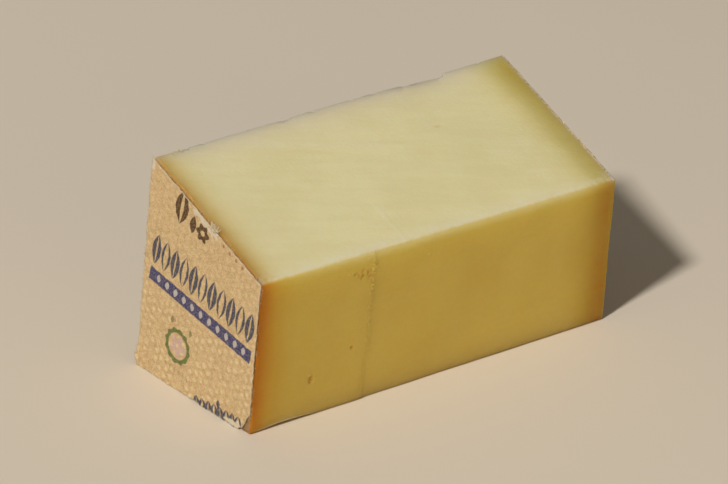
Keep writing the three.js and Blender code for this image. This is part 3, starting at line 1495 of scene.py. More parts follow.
@dataclass
class Cheese:
    """The wedge of cheese: one piece of paste and rind, as it was cut."""

    form: WedgeForm
    finish: CheeseFinish
    step: float = 0.70 * MM
    edge_step: float = 0.13 * MM
    wave: float = 0.2 * MM
    drag: float = 0.12 * MM
    rind_relief: float = 0.28 * MM
    rind_weave: float = 0.14 * MM
    dry_edge_width: float = 2.6 * MM
    # painted light: reach of the pale band of glow and edge highlight under the top edge
    shoulder: float = 3.0 * MM
    pale_after: float = 34.0 * MM
    flaky_width: float = 4.2 * MM
    flaky_share: float = 0.42
    scrape_share: float = 0.28
    rim_start: float = 0.45 * MM
    rim_width: float = 0.8 * MM
    dark_depth: float = 0.9 * MM
    # painted light: how strong that band of glow is, least near the label
    shoulder_least: float = 0.12
    shoulder_gain: float = 0.3
    pale_delay: float = 0.2
    dry_edge_share: float = 0.6
    back_share: float = 0.5
    rind_start: float = 0.42
    rind_fade: float = 0.4
    crack_y: float = 27.5 * MM
    back_chips: int = 30
    end_chips: int = 14
    knife_step: KnifeStep = KnifeStep()
    scrapes: tuple[ScrapeLine, ...] = (
        ScrapeLine((-11.6 * MM, 0.5 * MM), (-12.0 * MM, 12.5 * MM), 0.5 * MM, 0.06 * MM),
        ScrapeLine((-29.0 * MM, 37.0 * MM), (7.0 * MM, 25.5 * MM), 0.7 * MM, 0.05 * MM),
        ScrapeLine((17.5 * MM, 39.5 * MM), (18.5 * MM, 26.0 * MM), 0.5 * MM, 0.04 * MM),
    )
    flake: Flake = Flake()
    curl: FootCurl = FootCurl()

    def eyes(self) -> list[Bite]:
        """Lists the small eyes and cracks that the cuts opened.

        Returns:
            The hollows: three in front, a crack and a mark on the top, and three behind.
        """
        start = self.form.start
        depth = self.form.depth
        top = self.form.top_height
        mark_y = 20.8 * MM
        crack = (start + 76.0 * MM, self.crack_y, top(self.crack_y))
        return [
            Bite((start + 17.1 * MM, 0.0, 9.5 * MM), (0.65 * MM, 0.9 * MM, 0.95 * MM), 0.3),
            Bite((start + 28.7 * MM, 0.0, 14.6 * MM), (0.5 * MM, 0.7 * MM, 0.45 * MM)),
            Bite((start + 49.6 * MM, 0.0, 7.1 * MM), (0.35 * MM, 0.35 * MM, 0.4 * MM)),
            Bite(crack, (1.3 * MM, 0.3 * MM, 0.2 * MM), 0.4),
            Bite((start + 44.3 * MM, mark_y, top(mark_y)), (0.8 * MM, 0.5 * MM, 0.12 * MM)),
            Bite((start + 38.0 * MM, depth, 21.0 * MM), (1.2 * MM, 1.1 * MM, 0.9 * MM)),
            Bite((start + 71.0 * MM, depth, 33.5 * MM), (0.7 * MM, 0.8 * MM, 0.9 * MM)),
            Bite((start + 84.0 * MM, depth, 12.0 * MM), (1.5 * MM, 0.8 * MM, 0.6 * MM)),
        ]

    def patches(self) -> list[RoughPatch]:
        """Lists the torn patches beside the knife step.

        Returns:
            The patches: two torn ones, a crumbly strip and a broad, shallow one.
        """
        start = self.form.start
        return [
            RoughPatch((start + 30.4 * MM, 32.8 * MM), (2.1 * MM, 1.6 * MM)),
            RoughPatch((start + 28.4 * MM, 33.3 * MM), (0.9 * MM, 0.7 * MM)),
            RoughPatch((start + 32.6 * MM, 32.0 * MM), (0.9 * MM, 2.4 * MM), 0.35 * MM, 0.0),
            RoughPatch((start + 23.0 * MM, 29.5 * MM), (5.0 * MM, 3.0 * MM), 0.07 * MM, 0.0),
        ]

    def chips(self) -> list[Bite]:
        """Scatters small chips along the edges where the cheese crumbled.

        Returns:
            The chips along the top back edge, and then those along both ends of the top.
        """
        random = np.random.default_rng(17)
        half = self.form.length / 2
        depth = self.form.depth
        found = []
        for _ in range(self.back_chips):
            x = random.uniform(-half, half)
            size = random.uniform(0.7, 1.9) * MM
            centre = (x, depth + 0.45 * size, self.form.back_height + 0.45 * size)
            found.append(Bite(centre, (1.6 * size, size, size), 0.4))
        for _ in range(self.end_chips):
            y = random.uniform(0.0, depth)
            size = random.uniform(0.6, 1.1) * MM
            end = random.choice([-half, half])
            outside = 0.5 * size * math.copysign(1.0, end)
            centre = (end + outside, y, self.form.top_height(y) + 0.5 * size)
            found.append(Bite(centre, (size, 1.5 * size, size), 0.4))
        return found

    def grid(self, size: Points) -> list[np.ndarray]:
        """Places the grid lines, closer together at the edges, the eyes and the knife step.

        Args:
            size: The length, depth and mean height of the wedge.

        Returns:
            The lines along X, Y and Z.
        """
        form = self.form
        focus_x = []
        focus_z = []
        for x, y, z in (bite.centre for bite in self.eyes()):
            focus_x.append(Focus(x - form.start))
            if z < form.front_height:
                focus_z.append(Focus(z / form.top_height(y) * size[2]))
        focus_x.append(Focus(self.knife_step.from_label - 1.4 * MM, 0.21 * MM, 3.2 * MM))
        focus_y = [Focus(self.crack_y, 0.3 * MM, 0.8 * MM)]
        focus_z.append(Focus(0.83 * size[2], 0.24 * MM, 0.1 * size[2]))
        rows = zip(size, (focus_x, focus_y, focus_z))
        return [grid_lines(span, self.step, self.edge_step, places) for span, places in rows]

    def rounded_block(self) -> tuple[Points, np.ndarray, Points]:
        """Makes the true wedge with round edges.

        Returns:
            Its points, its quads, and for each point how far it belongs to each pair of faces:
            the sign tells which face of the pair it is.
        """
        form = self.form
        height = (form.front_height + form.back_height) / 2
        size = np.array([form.length, form.depth, height])
        radii = np.array([form.rind_edge, form.cut_edge, form.cut_edge])
        points, faces = box_skin(self.grid(size))
        inner = np.clip(points, radii, size - radii)
        lean = (points - inner) / radii
        lean = lean / np.linalg.norm(lean, axis=1, keepdims=True)
        points = inner + lean * radii
        points[:, 0] -= form.length / 2
        points[:, 2] *= form.top_height(points[:, 1]) / height
        return points, faces, lean

    def relief(self, points: Points, lean: Points) -> np.ndarray:
        """Works out how far the surface stands out from the true wedge.

        Args:
            points: Points of the true wedge.
            lean: How far each belongs to each pair of faces.

        Returns:
            The height of the surface at each point.
        """
        share = lean * np.abs(lean)
        front = np.clip(-share[:, 1], 0.0, 1.0)
        back = np.clip(share[:, 1], 0.0, 1.0)
        top = np.clip(share[:, 2], 0.0, 1.0)
        ends = np.abs(share[:, 0])
        wave = self.wave * Grain(seed=1, size=(17 * MM, 15 * MM, 14 * MM)).at(points)
        turned = points @ np.array(Matrix.Rotation(STROKE_ANGLE, 3, "Z"))
        strokes = Grain(seed=2, size=(26 * MM, 2.2 * MM, 1.5 * MM), octaves=3).at(turned)
        height = (front + back + top) * (wave + self.drag * strokes)
        height += front * self.knife_step.relief(self.form, points)
        for patch in self.patches():
            height += front * patch.relief(points)
        for scrape in self.scrapes:
            height += top * scrape.height * scrape.share(points)
        lumps = Grain(seed=4, size=(1.0, 4.5 * MM, 4.5 * MM), octaves=4).at(points)
        weave = Grain(seed=6, size=(1.0, 11 * MM, 0.55 * MM), octaves=3).at(points)
        return height + ends * (self.rind_relief * lumps + self.rind_weave * weave)

    def marks(self, points: Points, lean: Points, hollow: np.ndarray) -> dict[str, np.ndarray]:
        """Works out the numbers that the finish reads, from 0 to 1.

        Args:
            points: Points of the finished wedge, before it is placed.
            lean: How far each belongs to each pair of faces.
            hollow: How far each lies in an eye.

        Returns:
            One row of numbers for each mark, by its name.
        """
        form = self.form
        share = lean**2
        top = share[:, 2] * (lean[:, 2] > 0)
        cut_front = lean[:, 1] < -0.5
        for patch in self.patches():
            hollow = np.maximum(hollow, cut_front * patch.hollow(points))
        # painted highlight: pale along the back edge, on the top and, at half strength, on the back
        # face
        edge = smooth_step(1.0 - (form.depth - points[:, 1]) / self.dry_edge_width)
        # painted light: the cut faces are painted paler in a band under the top edge, where the lit
        # top's glow and the round edge's highlight show; the band grows paler away from the label
        below = form.top_height(points[:, 1]) - points[:, 2]
        paler = smooth_step((points[:, 0] - form.start) / self.pale_after - self.pale_delay)
        paleness = self.shoulder_least + self.shoulder_gain * paler
        shoulder = paleness * smooth_step(1.0 - below / self.shoulder) * share[:, 1]
        past_rim = (-form.start - points[:, 0] - self.rim_start) / self.rim_width
        flaky = self.flaky_share * smooth_step(1.0 - points[:, 1] / self.flaky_width)
        for scrape in self.scrapes:
            flaky = np.maximum(flaky, self.scrape_share * scrape.share(points))
        return {
            # painted light: the top, and a band of the cut faces under its edge, painted paler
            "dry_top": np.maximum(top, shoulder),
            "dry_edge": self.dry_edge_share * edge * np.maximum(top, self.back_share * share[:, 1]),
            "rind": smooth_step((share[:, 0] - self.rind_start) / self.rind_fade),
            "hollow": hollow,
            "crumbs": cut_front * self.knife_step.crumbs(form, points),
            "rim": top * smooth_step(1.0 - past_rim),
            "flaky": top * flaky,
        }

    def mesh(self) -> bpy.types.Mesh:
        """Builds the whole mesh.

        Returns:
            The mesh in the frame, with the numbers that its finish reads.
        """
        points, faces, lean = self.rounded_block()
        normals = point_normals(points, faces)
        points = points + normals * self.relief(points, lean)[:, None]
        points = self.flake.applied(self.form, points)
        hollow = np.zeros(len(points))
        for bite in self.eyes():
            depth = bite.depth(points, normals)
            points = points - normals * depth[:, None]
            # painted shade: darker the deeper the eye
            hollow = np.maximum(hollow, smooth_step(depth / self.dark_depth))
        for bite in self.chips():
            points = points - normals * bite.depth(points, normals)[:, None]
        points = self.curl.applied(self.form, points)
        placed = self.form.placed(points)
        placed[:, 2] = np.maximum(placed[:, 2], 0.0)
        mesh = new_mesh("cheese_wedge", placed, faces)
        for name, values in self.marks(points, lean, hollow).items():
            store(mesh, name, values)
        return mesh

    def build(self) -> None:
        """Builds, dresses and mounts the cheese."""
        piece = bpy.data.objects.new("cheese_wedge", self.mesh())
        bpy.context.scene.collection.objects.link(piece)
        piece.data.materials.append(self.finish.material())
        mount_piece(piece, "cheese")


@dataclass
class Scatter:
    """Small grains that sit on the cheese: crumbs along the rind's edge and pale crystals."""

    form: WedgeForm
    crumb_finish: SpeckFinish
    crystal_finish: SpeckFinish
    crumb_spacing: float = 1.15 * MM
    crumb_size: tuple[float, float] = (0.15 * MM, 0.6 * MM)
    crumb_wander: float = 0.22 * MM
    crumb_seed: int = 4
    crystal_size: tuple[float, float] = (0.22 * MM, 0.62 * MM)
    crystal_seed: int = 11
    sunk: float = 0.14 * MM
    strewn: int = 8
    flecks: int = 11

    SIZES = ("Smallest", "Largest", "Seed")

    def grain_shape(self, wiring: Wiring) -> Any:
        """Adds one lumpy grain of unit size to a tree.

        Args:
            wiring: The tree's wiring.

        Returns:
            The grain.
        """
        ball = wiring.add("GeometryNodeMeshIcoSphere", {"Radius": 0.5, "Subdivisions": 2})
        place = wiring.add("GeometryNodeInputPosition").outputs[0]
        lumps = wiring.noise(place, 1 / 2.2, detail=2, rough=0.5, output="Color")
        return wiring.moved(ball.outputs[0], wiring.vector("SUBTRACT", lumps, (0.5, 0.5, 0.5)))

    def finish_tree(self, wiring: Wiring, source: Any, result: Any, points: Any) -> None:
        """Puts a turned grain of its own size on each point, and ends the tree.

        Args:
            wiring: The tree's wiring.
            source: The outputs of its input node.
            result: The inputs of its output node.
            points: The points.
        """
        seed = source["Seed"]
        sizes = [wiring.even(source[label]) for label in ("Smallest", "Largest")]
        inputs = {
            "Points": points,
            "Instance": self.grain_shape(wiring),
            "Rotation": wiring.random(seed, (0.0, 0.0, 0.0), (2 * math.pi,) * 3),
            "Scale": wiring.random(seed, *sizes),
        }
        placed = wiring.add("GeometryNodeInstanceOnPoints", inputs).outputs[0]
        wiring.finish(source, result, placed)

    def crumb_tree(self) -> bpy.types.NodeTree:
        """Builds the tree that lays crumbs along a line.

        Returns:
            The tree.
        """
        sizes = ("Spacing", "Wander", *self.SIZES)
        wiring, source, result = shape_tree("crumbs_along_line", sizes)
        row = wiring.spaced(source["Geometry"], source["Spacing"]).outputs[0]
        low = wiring.even(wiring.times(source["Wander"], -1.0))
        stray = wiring.random(source["Seed"], low, wiring.even(source["Wander"]))
        self.finish_tree(wiring, source, result, wiring.moved(row, stray))
        return wiring.tree

    def crystal_tree(self) -> bpy.types.NodeTree:
        """Builds the tree that sets a crystal on each point of a mesh.

        Returns:
            The tree.
        """
        wiring, source, result = shape_tree("crystals_at_points", self.SIZES)
        self.finish_tree(wiring, source, result, source["Geometry"])
        return wiring.tree

    def rind_line(self) -> bpy.types.Mesh:
        """Traces the edge of the bare rind, over the top and some way down the back.

        Returns:
            The line, as a mesh.
        """
        form = self.form
        x = form.length / 2 - 0.9 * form.rind_edge
        begin = 0.14 * form.depth
        end = form.depth - 0.4 * form.cut_edge
        corners = [
            (x, begin, form.top_height(begin) - 0.1 * MM),
            (x, end, form.top_height(end) - 0.2 * MM),
            (x, form.depth - 0.1 * MM, 0.45 * form.back_height),
        ]
        return path_mesh("rind_line", form.placed(densified(np.array(corners), 1 * MM)))

    def crystal_spots(self) -> bpy.types.Mesh:
        """Places the crystals, and the pale flecks by the knife step and the chipped corner.

        Returns:
            The places, as a mesh.
        """
        form = self.form
        start = form.start
        spots = [
            (start + 26.0 * MM, self.sunk, 33.8 * MM),
            (start + 46.6 * MM, self.sunk, 35.9 * MM),
            (start + 50.5 * MM, self.sunk, 32.9 * MM),
            (start + 16.6 * MM, self.sunk, 10.6 * MM),
        ]
        random = np.random.default_rng(5)
        for _ in range(self.flecks):
            x = start + random.normal(32.4, 0.8) * MM
            spots.append((x, self.sunk, random.uniform(13.0, 37.0) * MM))
            x = start + random.uniform(3.5, 8.5) * MM
            y = form.depth - random.uniform(0.3, 1.2) * MM
            spots.append((x, y, form.top_height(y) - self.sunk))
        for _ in range(self.strewn):
            x = random.uniform(0.1, 0.9) * form.length + start
            height = random.uniform(0.1, 0.8) * form.back_height
            spots.append((x, form.depth - self.sunk, height))
        return path_mesh("crystal_spots", form.placed(np.array(spots)))

    def build(self) -> None:
        """Builds, dresses and mounts the crumbs and crystals."""
        crumbs = {
            "Spacing": self.crumb_spacing,
            "Smallest": self.crumb_size[0],
            "Largest": self.crumb_size[1],
            "Wander": self.crumb_wander,
            "Seed": self.crumb_seed,
            "Material": self.crumb_finish.material(),
        }
        mount_piece(grown("rind_crumbs", self.rind_line(), self.crumb_tree(), crumbs))
        crystals = {
            "Smallest": self.crystal_size[0],
            "Largest": self.crystal_size[1],
            "Seed": self.crystal_seed,
            "Material": self.crystal_finish.material(),
        }
        spots = self.crystal_spots()
        mount_piece(grown("cheese_crystals", spots, self.crystal_tree(), crystals))


# ---- The label ----


def rim_edges(quads: np.ndarray) -> np.ndarray:
    """Finds the edges on the rim of a sheet of quads.

    Args:
        quads: The sheet's quads.

    Returns:
        The rim's edges, each in the direction in which its quad runs.
    """
    edges = np.concatenate([quads[:, [i, (i + 1) % 4]] for i in range(4)])
    ordered = np.sort(edges, axis=1)
    _, first, counts = np.unique(ordered, axis=0, return_index=True, return_counts=True)
    return edges[first[counts == 1]]


@dataclass(frozen=True)
class Scuff:
    """An oval place on the paper where its top layer is rubbed away."""

    centre: tuple[float, float]
    reach: tuple[float, float]
    angle: float = 0.0
    raggedness: float = 0.8

    def share(self, spots: Points) -> np.ndarray:
        """Works out how bare the paper is at some spots.

        Args:
            spots: Places in Y and Z.

        Returns:
            For each spot, from 0 where the paper is whole to 1 where it is bare.
        """
        offset = spots - np.array(self.centre)
        cosine, sine = math.cos(self.angle), math.sin(self.angle)
        along = (offset @ np.array([cosine, sine])) / self.reach[0]
        across = (offset @ np.array([-sine, cosine])) / self.reach[1]
        ragged = Grain(seed=27, size=(1.0, 0.9 * MM, 0.9 * MM), octaves=3).on_sheet(spots)
        return smooth_step((1.0 - np.hypot(along, across) + self.raggedness * ragged) / 0.4)


@dataclass(frozen=True)
class FibreRow:
    """How the loose fibres grow along one stretch of the torn edge."""

    name: str
    finish: SpeckFinish
    spacing: float
    shortest: float
    longest: float
    spread: float
    clumps: float
    seed: int
    thickness: float = 0.06

    def values(self) -> dict[str, Any]:
        """Lists what the fibre tree reads.

        Returns:
            The values, by the names of the tree's inputs.
        """
        own = [item.name for item in fields(self) if item.name not in ("name", "finish")]
        values = {name.title(): getattr(self, name) for name in own}
        return {**values, "Material": self.finish.material()}


@dataclass
class Label:
    """The torn piece of the wheel's paper label, glued to the rind at one end."""

    form: WedgeForm
    finish: PaperFinish
    edge_fibres: FibreRow
    tuft_fibres: FibreRow
    thickness: float = 0.13 * MM
    glue: float = 0.04 * MM
    inset: float = 0.05 * MM
    flare: float = 0.8 * MM
    tab_height: float = 2.6 * MM
    cell: float = 0.27 * MM
    ragged: float = 0.3 * MM
    pitch: float = 2.3 * MM
    emboss_height: float = 0.17 * MM
    emboss_angle: float = math.radians(18.7)
    fibre_height: float = 0.4 * MM
    emboss_stray: float = 1.7 * MM
    edge_lift: float = 0.08 * MM
    tab_lift: float = 0.25 * MM
    wave_lift: float = 0.04 * MM
    tuft_span: tuple[float, float] = (0.46, 0.40)

    def outline(self) -> Points:
        """Lists the corners of the paper.

        Returns:
            The corners in Y and Z, going round from the top front one down the front edge.
        """
        form = self.form
        near = self.inset
        corners = [
            (near, form.front_height - near),
            (near, 5.2 * MM),
            (1.6 * MM, 2.8 * MM),
            (2.4 * MM, 1.2 * MM),
            (4.2 * MM, near),
            (form.depth - 0.2 * MM, near),
            (form.depth + self.flare, self.tab_height),
            (form.depth + 0.1 * MM, 2 * self.tab_height),
            (form.depth - near, form.back_height - 2 * near),
        ]
        flat = np.array([(form.start, y, z) for y, z in corners])
        return form.placed(flat)[:, 1:]

    def scuffs(self) -> list[Scuff]:
        """Lists the places where the top layer of the paper is rubbed away.

        Returns:
            The scuffs: a strip and a spot at the top, the back corner and the torn foot.
        """
        corners = self.outline()
        front, back = corners[0], corners[-1]
        slant = math.atan2(*(back - front)[::-1])
        below = np.array([0.0, -0.9 * MM])
        strip = front + (back - front) * 0.53 + below
        end = front + (back - front) * 0.42 + below
        corner = back - np.array([0.6, 1.4]) * MM
        return [
            Scuff(tuple(strip), (5.5 * MM, 0.8 * MM), slant),
            Scuff(tuple(end), (1.3 * MM, 1.4 * MM), slant),
            Scuff(tuple(corner), (1.2 * MM, 1.5 * MM)),
            Scuff((self.form.front_y + 6.0 * MM, 0.9 * MM), (3.6 * MM, 1.0 * MM)),
        ]

    def signed_gap(self, spots: Points) -> np.ndarray:
        """Measures how far inside the outline each spot lies.

        Args:
            spots: Places in Y and Z.

        Returns:
            The distance to the outline, which is below 0 outside it.
        """
        corners = self.outline()
        after = np.roll(corners, -1, axis=0)
        nearest = np.full(len(spots), np.inf)
        inside = np.zeros(len(spots), bool)
        for start, end in zip(corners, after):
            side = end - start
            part = np.clip(((spots - start) @ side) / (side @ side), 0.0, 1.0)
            gap = np.linalg.norm(spots - start - part[:, None] * side, axis=1)
            nearest = np.minimum(nearest, gap)
            spans = (start[1] > spots[:, 1]) != (end[1] > spots[:, 1])
            rise = side[1] if side[1] != 0 else 1.0
            cross = start[0] + (spots[:, 1] - start[1]) / rise * side[0]
            inside ^= spans & (spots[:, 0] < cross)
        return np.where(inside, nearest, -nearest)

    def ragged_gap(self, spots: Points) -> np.ndarray:
        """Measures the same distance to the paper's ragged, fibrous edge."""
        coarse = Grain(seed=21, size=(1.0, 1.4 * MM, 1.4 * MM), octaves=4).on_sheet(spots)
        return self.signed_gap(spots) + self.ragged * coarse

    def sheet_mesh(self) -> bpy.types.Mesh:
        """Builds the flat sheet: a fine grid cut along the ragged outline, with a thickness.

        Returns:
            The sheet's mesh.
        """
        corners = self.outline()
        low = corners.min(axis=0) - 2 * self.cell
        high = corners.max(axis=0) + 2 * self.cell
        counts = np.ceil((high - low) / self.cell).astype(int) + 1
        axes = [np.linspace(low[i], high[i], counts[i]) for i in range(2)]
        across, up = np.meshgrid(*axes, indexing="ij")
        spots = np.column_stack([across.ravel(), up.ravel()])
        gap = self.ragged_gap(spots)
        index = np.arange(len(spots)).reshape(counts)
        quads = np.roll(grid_quads(index, True), 1, axis=1)
        quads = quads[(gap[quads] > -0.3 * self.cell).all(axis=1)]
        used, quads = np.unique(quads, return_inverse=True)
        quads = quads.reshape(-1, 4)
        return self.thickened(self.trimmed(spots[used], quads), quads)

    def trimmed(self, spots: Points, quads: np.ndarray) -> Points:
        """Draws the points of the grid's rim onto the ragged outline.

        Args:
            spots: The grid's points in Y and Z.
            quads: Its quads.

        Returns:
            The moved points.
        """
        rim = np.unique(rim_edges(quads))
        moved = spots.copy()
        nudge = 0.05 * MM
        for _ in range(3):
            here = moved[rim]
            gap = self.ragged_gap(here)
            slope = np.column_stack(
                [(self.ragged_gap(here + step) - gap) / nudge for step in nudge * np.eye(2)]
            )
            steepness = np.maximum((slope**2).sum(axis=1), 0.3)
            moved[rim] = here - slope * (gap / steepness)[:, None] * 0.7
        limit = 0.8 * self.cell
        moved = spots + np.clip(moved - spots, -limit, limit)
        moved[:, 1] = np.maximum(moved[:, 1], 0.05 * MM)
        return moved

    def thickened(self, spots: Points, quads: np.ndarray) -> bpy.types.Mesh:
        """Closes the sheet with a back and a rim, and notes where it is torn.

        Args:
            spots: The sheet's points in Y and Z.
            quads: Its quads.

        Returns:
            The closed mesh.
        """
        back_x = self.form.low.x - self.glue
        lift = self.lift(spots)
        outer = np.column_stack([back_x - self.thickness - lift, spots])
        inner = np.column_stack([back_x - lift, spots])
        number = len(spots)
        edges = rim_edges(quads)
        wall = np.column_stack([edges[:, ::-1], edges + number])
        faces = np.concatenate([quads, quads[:, ::-1] + number, wall])
        mesh = new_mesh("label_sheet", np.concatenate([outer, inner]), faces)
        gap = self.ragged_gap(spots)
        fibre = Grain(seed=25, size=(1.0, 0.8 * MM, 0.8 * MM), octaves=3).at(outer)
        torn = 0.8 * smooth_step(1.0 - (gap + 0.5 * MM * fibre) / (0.18 * MM))
        for scuff in self.scuffs():
            torn = np.maximum(torn, scuff.share(spots))
        store(mesh, "torn", np.concatenate([torn, np.full(number, 0.4)]))
        return mesh

    def lift(self, spots: Points) -> np.ndarray:
        """Works out how far the paper's corners and edges have come away from the rind.

        Args:
            spots: Places in Y and Z.

        Returns:
            The distance that the paper has lifted at each spot.
        """
        gap = self.signed_gap(spots)
        wave = Grain(seed=23, size=(1.0, 9 * MM, 9 * MM)).on_sheet(spots)
        edge = smooth_step(1.0 - gap / (2.2 * MM)) * np.clip(0.5 + wave, 0.0, 1.0)
        foot = self.outline()[6]
        tab = smooth_step(1.0 - np.linalg.norm(spots - foot, axis=1) / (5 * MM))
        return self.edge_lift * edge + self.tab_lift * tab + self.wave_lift * (wave + 1.0)

    def emboss_tree(self) -> bpy.types.NodeTree:
        """Builds the tree that presses a honeycomb of soft dots into the paper.

        Returns:
            The tree.
        """
        sizes = ("Pitch", "Angle", "Height", "Fibre Height")
        wiring, source, result = shape_tree("embossed_paper", sizes)
        place = wiring.add("GeometryNodeInputPosition").outputs[0]
        stray = wiring.noise(place, 3 * MM, detail=2, rough=0.5, output="Color")
        stray = wiring.vector("MULTIPLY_ADD", stray, (self.emboss_stray,) * 3, place)
        turn = {"Vector": stray, "Angle": source["Angle"]}
        turned = wiring.add("ShaderNodeVectorRotate", turn, rotation_type="X_AXIS").outputs[0]
        wave = wiring.over(4 * math.pi / math.sqrt(3), source["Pitch"])
        ripples = []
        for angle in (math.radians(30), math.radians(90), math.radians(150)):
            along = wiring.dot(turned, (0.0, math.cos(angle), math.sin(angle)))
            ripples.append(wiring.math("COSINE", wiring.times(along, wave)))
        dots = wiring.remap(functools.reduce(wiring.plus, ripples), -1.0, 2.4)
        worn = wiring.remap(wiring.noise(place, 4 * MM, rough=0.5), 0.30, 0.56)
        faded = wiring.remap(wiring.split(place)["Z"], 12 * MM, 42 * MM, 1.0, 0.5)
        dots = wiring.times(dots, worn, faded)
        rough = wiring.noise(place, 0.8 * MM, detail=5, rough=0.5)
        rise = wiring.scaled(dots, source["Height"], wiring.times(rough, source["Fibre Height"]))
        offset = wiring.add("ShaderNodeCombineXYZ", {0: wiring.times(rise, -1.0)}).outputs[0]
        moved = wiring.moved(source["Geometry"], offset)
        noted = {"Geometry": moved, "Name": "emboss", "Value": dots}
        noted = wiring.add("GeometryNodeStoreNamedAttribute", noted).outputs[0]
        wiring.finish(source, result, noted)
        return wiring.tree

    def fibre_tree(self) -> bpy.types.NodeTree:
        """Builds the tree that grows loose paper fibres along a torn edge.

        Returns:
            The tree.
        """
        sizes = ("Spacing", "Shortest", "Longest", "Thickness", "Spread", "Clumps", "Seed")
        wiring, source, result = shape_tree("torn_fibres", sizes)
        row = wiring.spaced(source["Geometry"], source["Spacing"])
        outward = wiring.vector("CROSS_PRODUCT", row.outputs["Tangent"], (1.0, 0.0, 0.0))
        stray = wiring.random(source["Seed"], (-0.9, -1.0, -1.0), (0.1, 1.0, 1.0))
        spread = {0: stray, "Scale": source["Spread"]}
        spread = wiring.add("ShaderNodeVectorMath", spread, operation="SCALE").outputs[0]
        aim = {"Vector": wiring.vector("ADD", outward, spread)}
        turn = wiring.add("FunctionNodeAlignRotationToVector", aim, axis="Z").outputs[0]
        length = {"Seed": source["Seed"], 2: source["Shortest"], 3: source["Longest"]}
        length = wiring.add("FunctionNodeRandomValue", length, data_type="FLOAT").outputs[1]
        bend = {"Start": (0, 0, 0), "Middle": (0.15, 0.1, 0.6), "End": (0.4, 0, 1)}
        bend = wiring.add("GeometryNodeCurveQuadraticBezier", {"Resolution": 4, **bend})
        ring = {"Resolution": 3, "Radius": source["Thickness"]}
        ring = wiring.add("GeometryNodeCurvePrimitiveCircle", ring)
        tube = {"Curve": bend.outputs[0], "Profile Curve": ring.outputs[0], "Fill Caps": True}
        here = wiring.add("GeometryNodeInputPosition").outputs[0]
        clump = wiring.noise(here, 2.2 * MM)
        inputs = {
            "Points": row.outputs[0],
            "Instance": wiring.add("GeometryNodeCurveToMesh", tube).outputs[0],
            "Selection": wiring.math("GREATER_THAN", clump, source["Clumps"]),
            "Rotation": turn,
            "Scale": length,
        }
        placed = wiring.add("GeometryNodeInstanceOnPoints", inputs).outputs[0]
        wiring.finish(source, result, placed)
        return wiring.tree

    def edge_line(self, corners: Points) -> bpy.types.Mesh:
        """Traces part of the paper's edge.

        Args:
            corners: The corners that the line passes, in Y and Z.

        Returns:
            The line, as a mesh.
        """
        dense = densified(corners, 1 * MM)
        x = self.form.low.x - self.glue - self.thickness
        return path_mesh("paper_edge", np.column_stack([np.full(len(dense), x), dense]))

    def build(self) -> None:
        """Builds, dresses and mounts the paper and its torn fibres."""
        emboss = {
            "Pitch": self.pitch,
            "Angle": self.emboss_angle,
            "Height": self.emboss_height,
            "Fibre Height": self.fibre_height,
            "Material": self.finish.material(),
        }
        sheet = grown("label_paper", self.sheet_mesh(), self.emboss_tree(), emboss)
        mount_piece(sheet, "paper_label")
        tree = self.fibre_tree()
        corners = self.outline()
        front, back = corners[0], corners[-1]
        tuft = np.array([front + (back - front) * share for share in self.tuft_span])
        torn_round = np.roll(corners, -5, axis=0)
        for row, stretch in ((self.edge_fibres, torn_round), (self.tuft_fibres, tuft)):
            fibres = grown(row.name, self.edge_line(stretch), tree, row.values())
            mount_piece(fibres)


# ---- The studio ----


@dataclass(frozen=True)
class Viewpoint:
    """Where the camera stands, as an azimuth, an elevation and a distance from its aim."""

    azimuth: float = math.radians(-43.01)
    elevation: float = math.radians(25.90)
    roll: float = math.radians(4.94)
    distance: float = 0.9404
    lens: float = 197.8
    sensor: float = 36.0
    aim_right: float = -4.17 * MM
    aim_up: float = -0.94 * MM
    nearest: float = 0.05
    furthest: float = 20.0

    def build(self, centre: Vector) -> None:
        """Makes the camera.

        Args:
            centre: The middle of the object's box.
        """
        flat = math.cos(self.elevation)
        across = math.sin(self.azimuth) * flat
        towards = -math.cos(self.azimuth) * flat
        back = Vector((across, towards, math.sin(self.elevation)))
        right = Vector((0.0, 0.0, 1.0)).cross(back).normalized()
        up = back.cross(right)
        aim = centre + right * self.aim_right + up * self.aim_up
        turn = Matrix.Rotation(self.roll, 3, back)
        axes = Matrix((turn @ right, turn @ up, back)).transposed()
        camera = bpy.data.objects.new("camera", bpy.data.cameras.new("camera"))
        camera.data.lens = self.lens
        camera.data.sensor_width = self.sensor
        camera.data.clip_start = self.nearest
        camera.data.clip_end = self.furthest
        camera.matrix_world = Matrix.Translation(aim + back * self.distance) @ axes.to_4x4()
        bpy.context.scene.collection.objects.link(camera)
        bpy.context.scene.camera = camera


@dataclass(frozen=True)
class Lamp:
    """One soft round lamp that points at the wedge."""

    name: str
    direction: tuple[float, float, float]
    distance: float
    size: float
    power: float
    colour: Colour

    def build(self, centre: Vector) -> None:
        """Makes the lamp.

        Args:
            centre: The middle of the object's box.
        """
        light = bpy.data.lights.new(self.name, "AREA")
        light.shape = "DISK"
        light.size = self.size
        light.energy = self.power
        light.color = self.colour
        lamp = bpy.data.objects.new(self.name, light)
        way = Vector(self.direction).normalized()
        lamp.location = centre + way * self.distance
        lamp.rotation_mode = "QUATERNION"
        lamp.rotation_quaternion = way.to_track_quat("Z", "Y")
        bpy.context.scene.collection.objects.link(lamp)


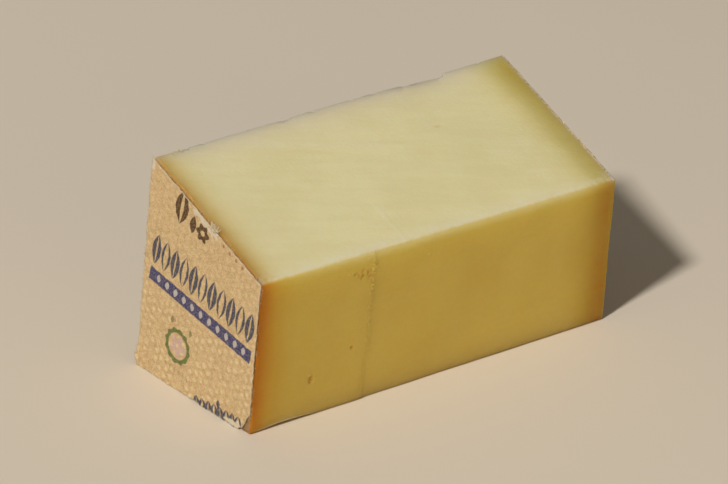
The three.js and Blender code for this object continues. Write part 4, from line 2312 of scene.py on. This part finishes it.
@dataclass(frozen=True)
class Studio:
    """The plain pale floor and the soft lamps."""

    floor_size: float = 24.0
    floor_colour: Colour = (0.76, 0.67, 0.54)
    floor_roughness: float = 0.8
    cloud_size: float = 0.3
    sky_colour: Colour = (1.0, 0.96, 0.90)
    sky_strength: float = 0.14
    lamps: tuple[Lamp, ...] = (
        Lamp("key_lamp", (-0.733, -0.173, 0.658), 6.0, 0.62, 312.0, (1.0, 0.97, 0.94)),
        Lamp("warm_fill", (-0.35, -1.0, 0.18), 1.2, 0.9, 1.9, (1.0, 0.72, 0.3)),
    )

    def floor(self) -> None:
        """Makes the floor."""
        half = self.floor_size / 2
        corners = np.array([(-half, -half, 0), (half, -half, 0), (half, half, 0), (-half, half, 0)])
        floor = bpy.data.objects.new("floor", new_mesh("floor", corners, [(0, 1, 2, 3)]))
        material, wiring, shader, place = new_material("pale_floor")
        cloud = wiring.remap(wiring.noise(place, self.cloud_size, detail=2), 0.3, 0.7, 0.97, 1.0)
        shade = {"Color": (*self.floor_colour, 1.0), "Value": cloud}
        shade = wiring.add("ShaderNodeHueSaturation", shade).outputs["Color"]
        wiring.feed(shader.inputs["Base Color"], shade)
        shader.inputs["Roughness"].default_value = self.floor_roughness
        floor.data.materials.append(material)
        bpy.context.scene.collection.objects.link(floor)
        floor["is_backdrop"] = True

    def sky(self) -> None:
        """Makes the even light from all round."""
        world = bpy.data.worlds.new("sky")
        world.use_nodes = True
        background = world.node_tree.nodes["Background"]
        background.inputs["Color"].default_value = (*self.sky_colour, 1.0)
        background.inputs["Strength"].default_value = self.sky_strength
        bpy.context.scene.world = world

    def build(self, centre: Vector) -> None:
        """Makes the floor, the sky and every lamp.

        Args:
            centre: The middle of the object's box.
        """
        self.floor()
        self.sky()
        for lamp in self.lamps:
            lamp.build(centre)
        bpy.context.scene.view_settings.view_transform = "Standard"


def write_sizes() -> None:
    """Updates the view layer."""
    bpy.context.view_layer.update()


def main() -> None:
    """Builds the camera, the studio and every piece of the wedge."""
    logging.basicConfig(level=logging.INFO, format="%(name)s: %(message)s")
    centre = (CAD_BOX[0] + CAD_BOX[1]) / 2
    Viewpoint().build(centre)
    Studio().build(centre)
    form = WedgeForm()
    Cheese(form, CheeseFinish(form.low.x, form.high.x)).build()
    crumb = SpeckFinish("rind_crumb", (0.80, 0.62, 0.34), (0.66, 0.47, 0.22), 0.7)
    crystal = SpeckFinish("cheese_crystal", (0.67, 0.52, 0.16), (0.60, 0.44, 0.11), 0.55)
    Scatter(form, crumb, crystal).build()
    paper = PaperFinish((form.front_y + form.depth, 0.0))
    fibre = SpeckFinish("paper_fibre", (0.70, 0.56, 0.36), (0.56, 0.41, 0.23), 0.85)
    tuft = SpeckFinish("paper_tuft", (0.86, 0.76, 0.54), (0.76, 0.64, 0.42), 0.85)
    edge_row = FibreRow("label_fibres", fibre, 0.13 * MM, 0.1 * MM, 0.7 * MM, 1.6, 0.5, 6)
    tuft_row = FibreRow("label_tuft", tuft, 0.035 * MM, 0.5 * MM, 1.35 * MM, 1.3, 0.0, 9)
    Label(form, paper, edge_row, tuft_row).build()
    write_sizes()


if __name__ == "__main__":
    main()
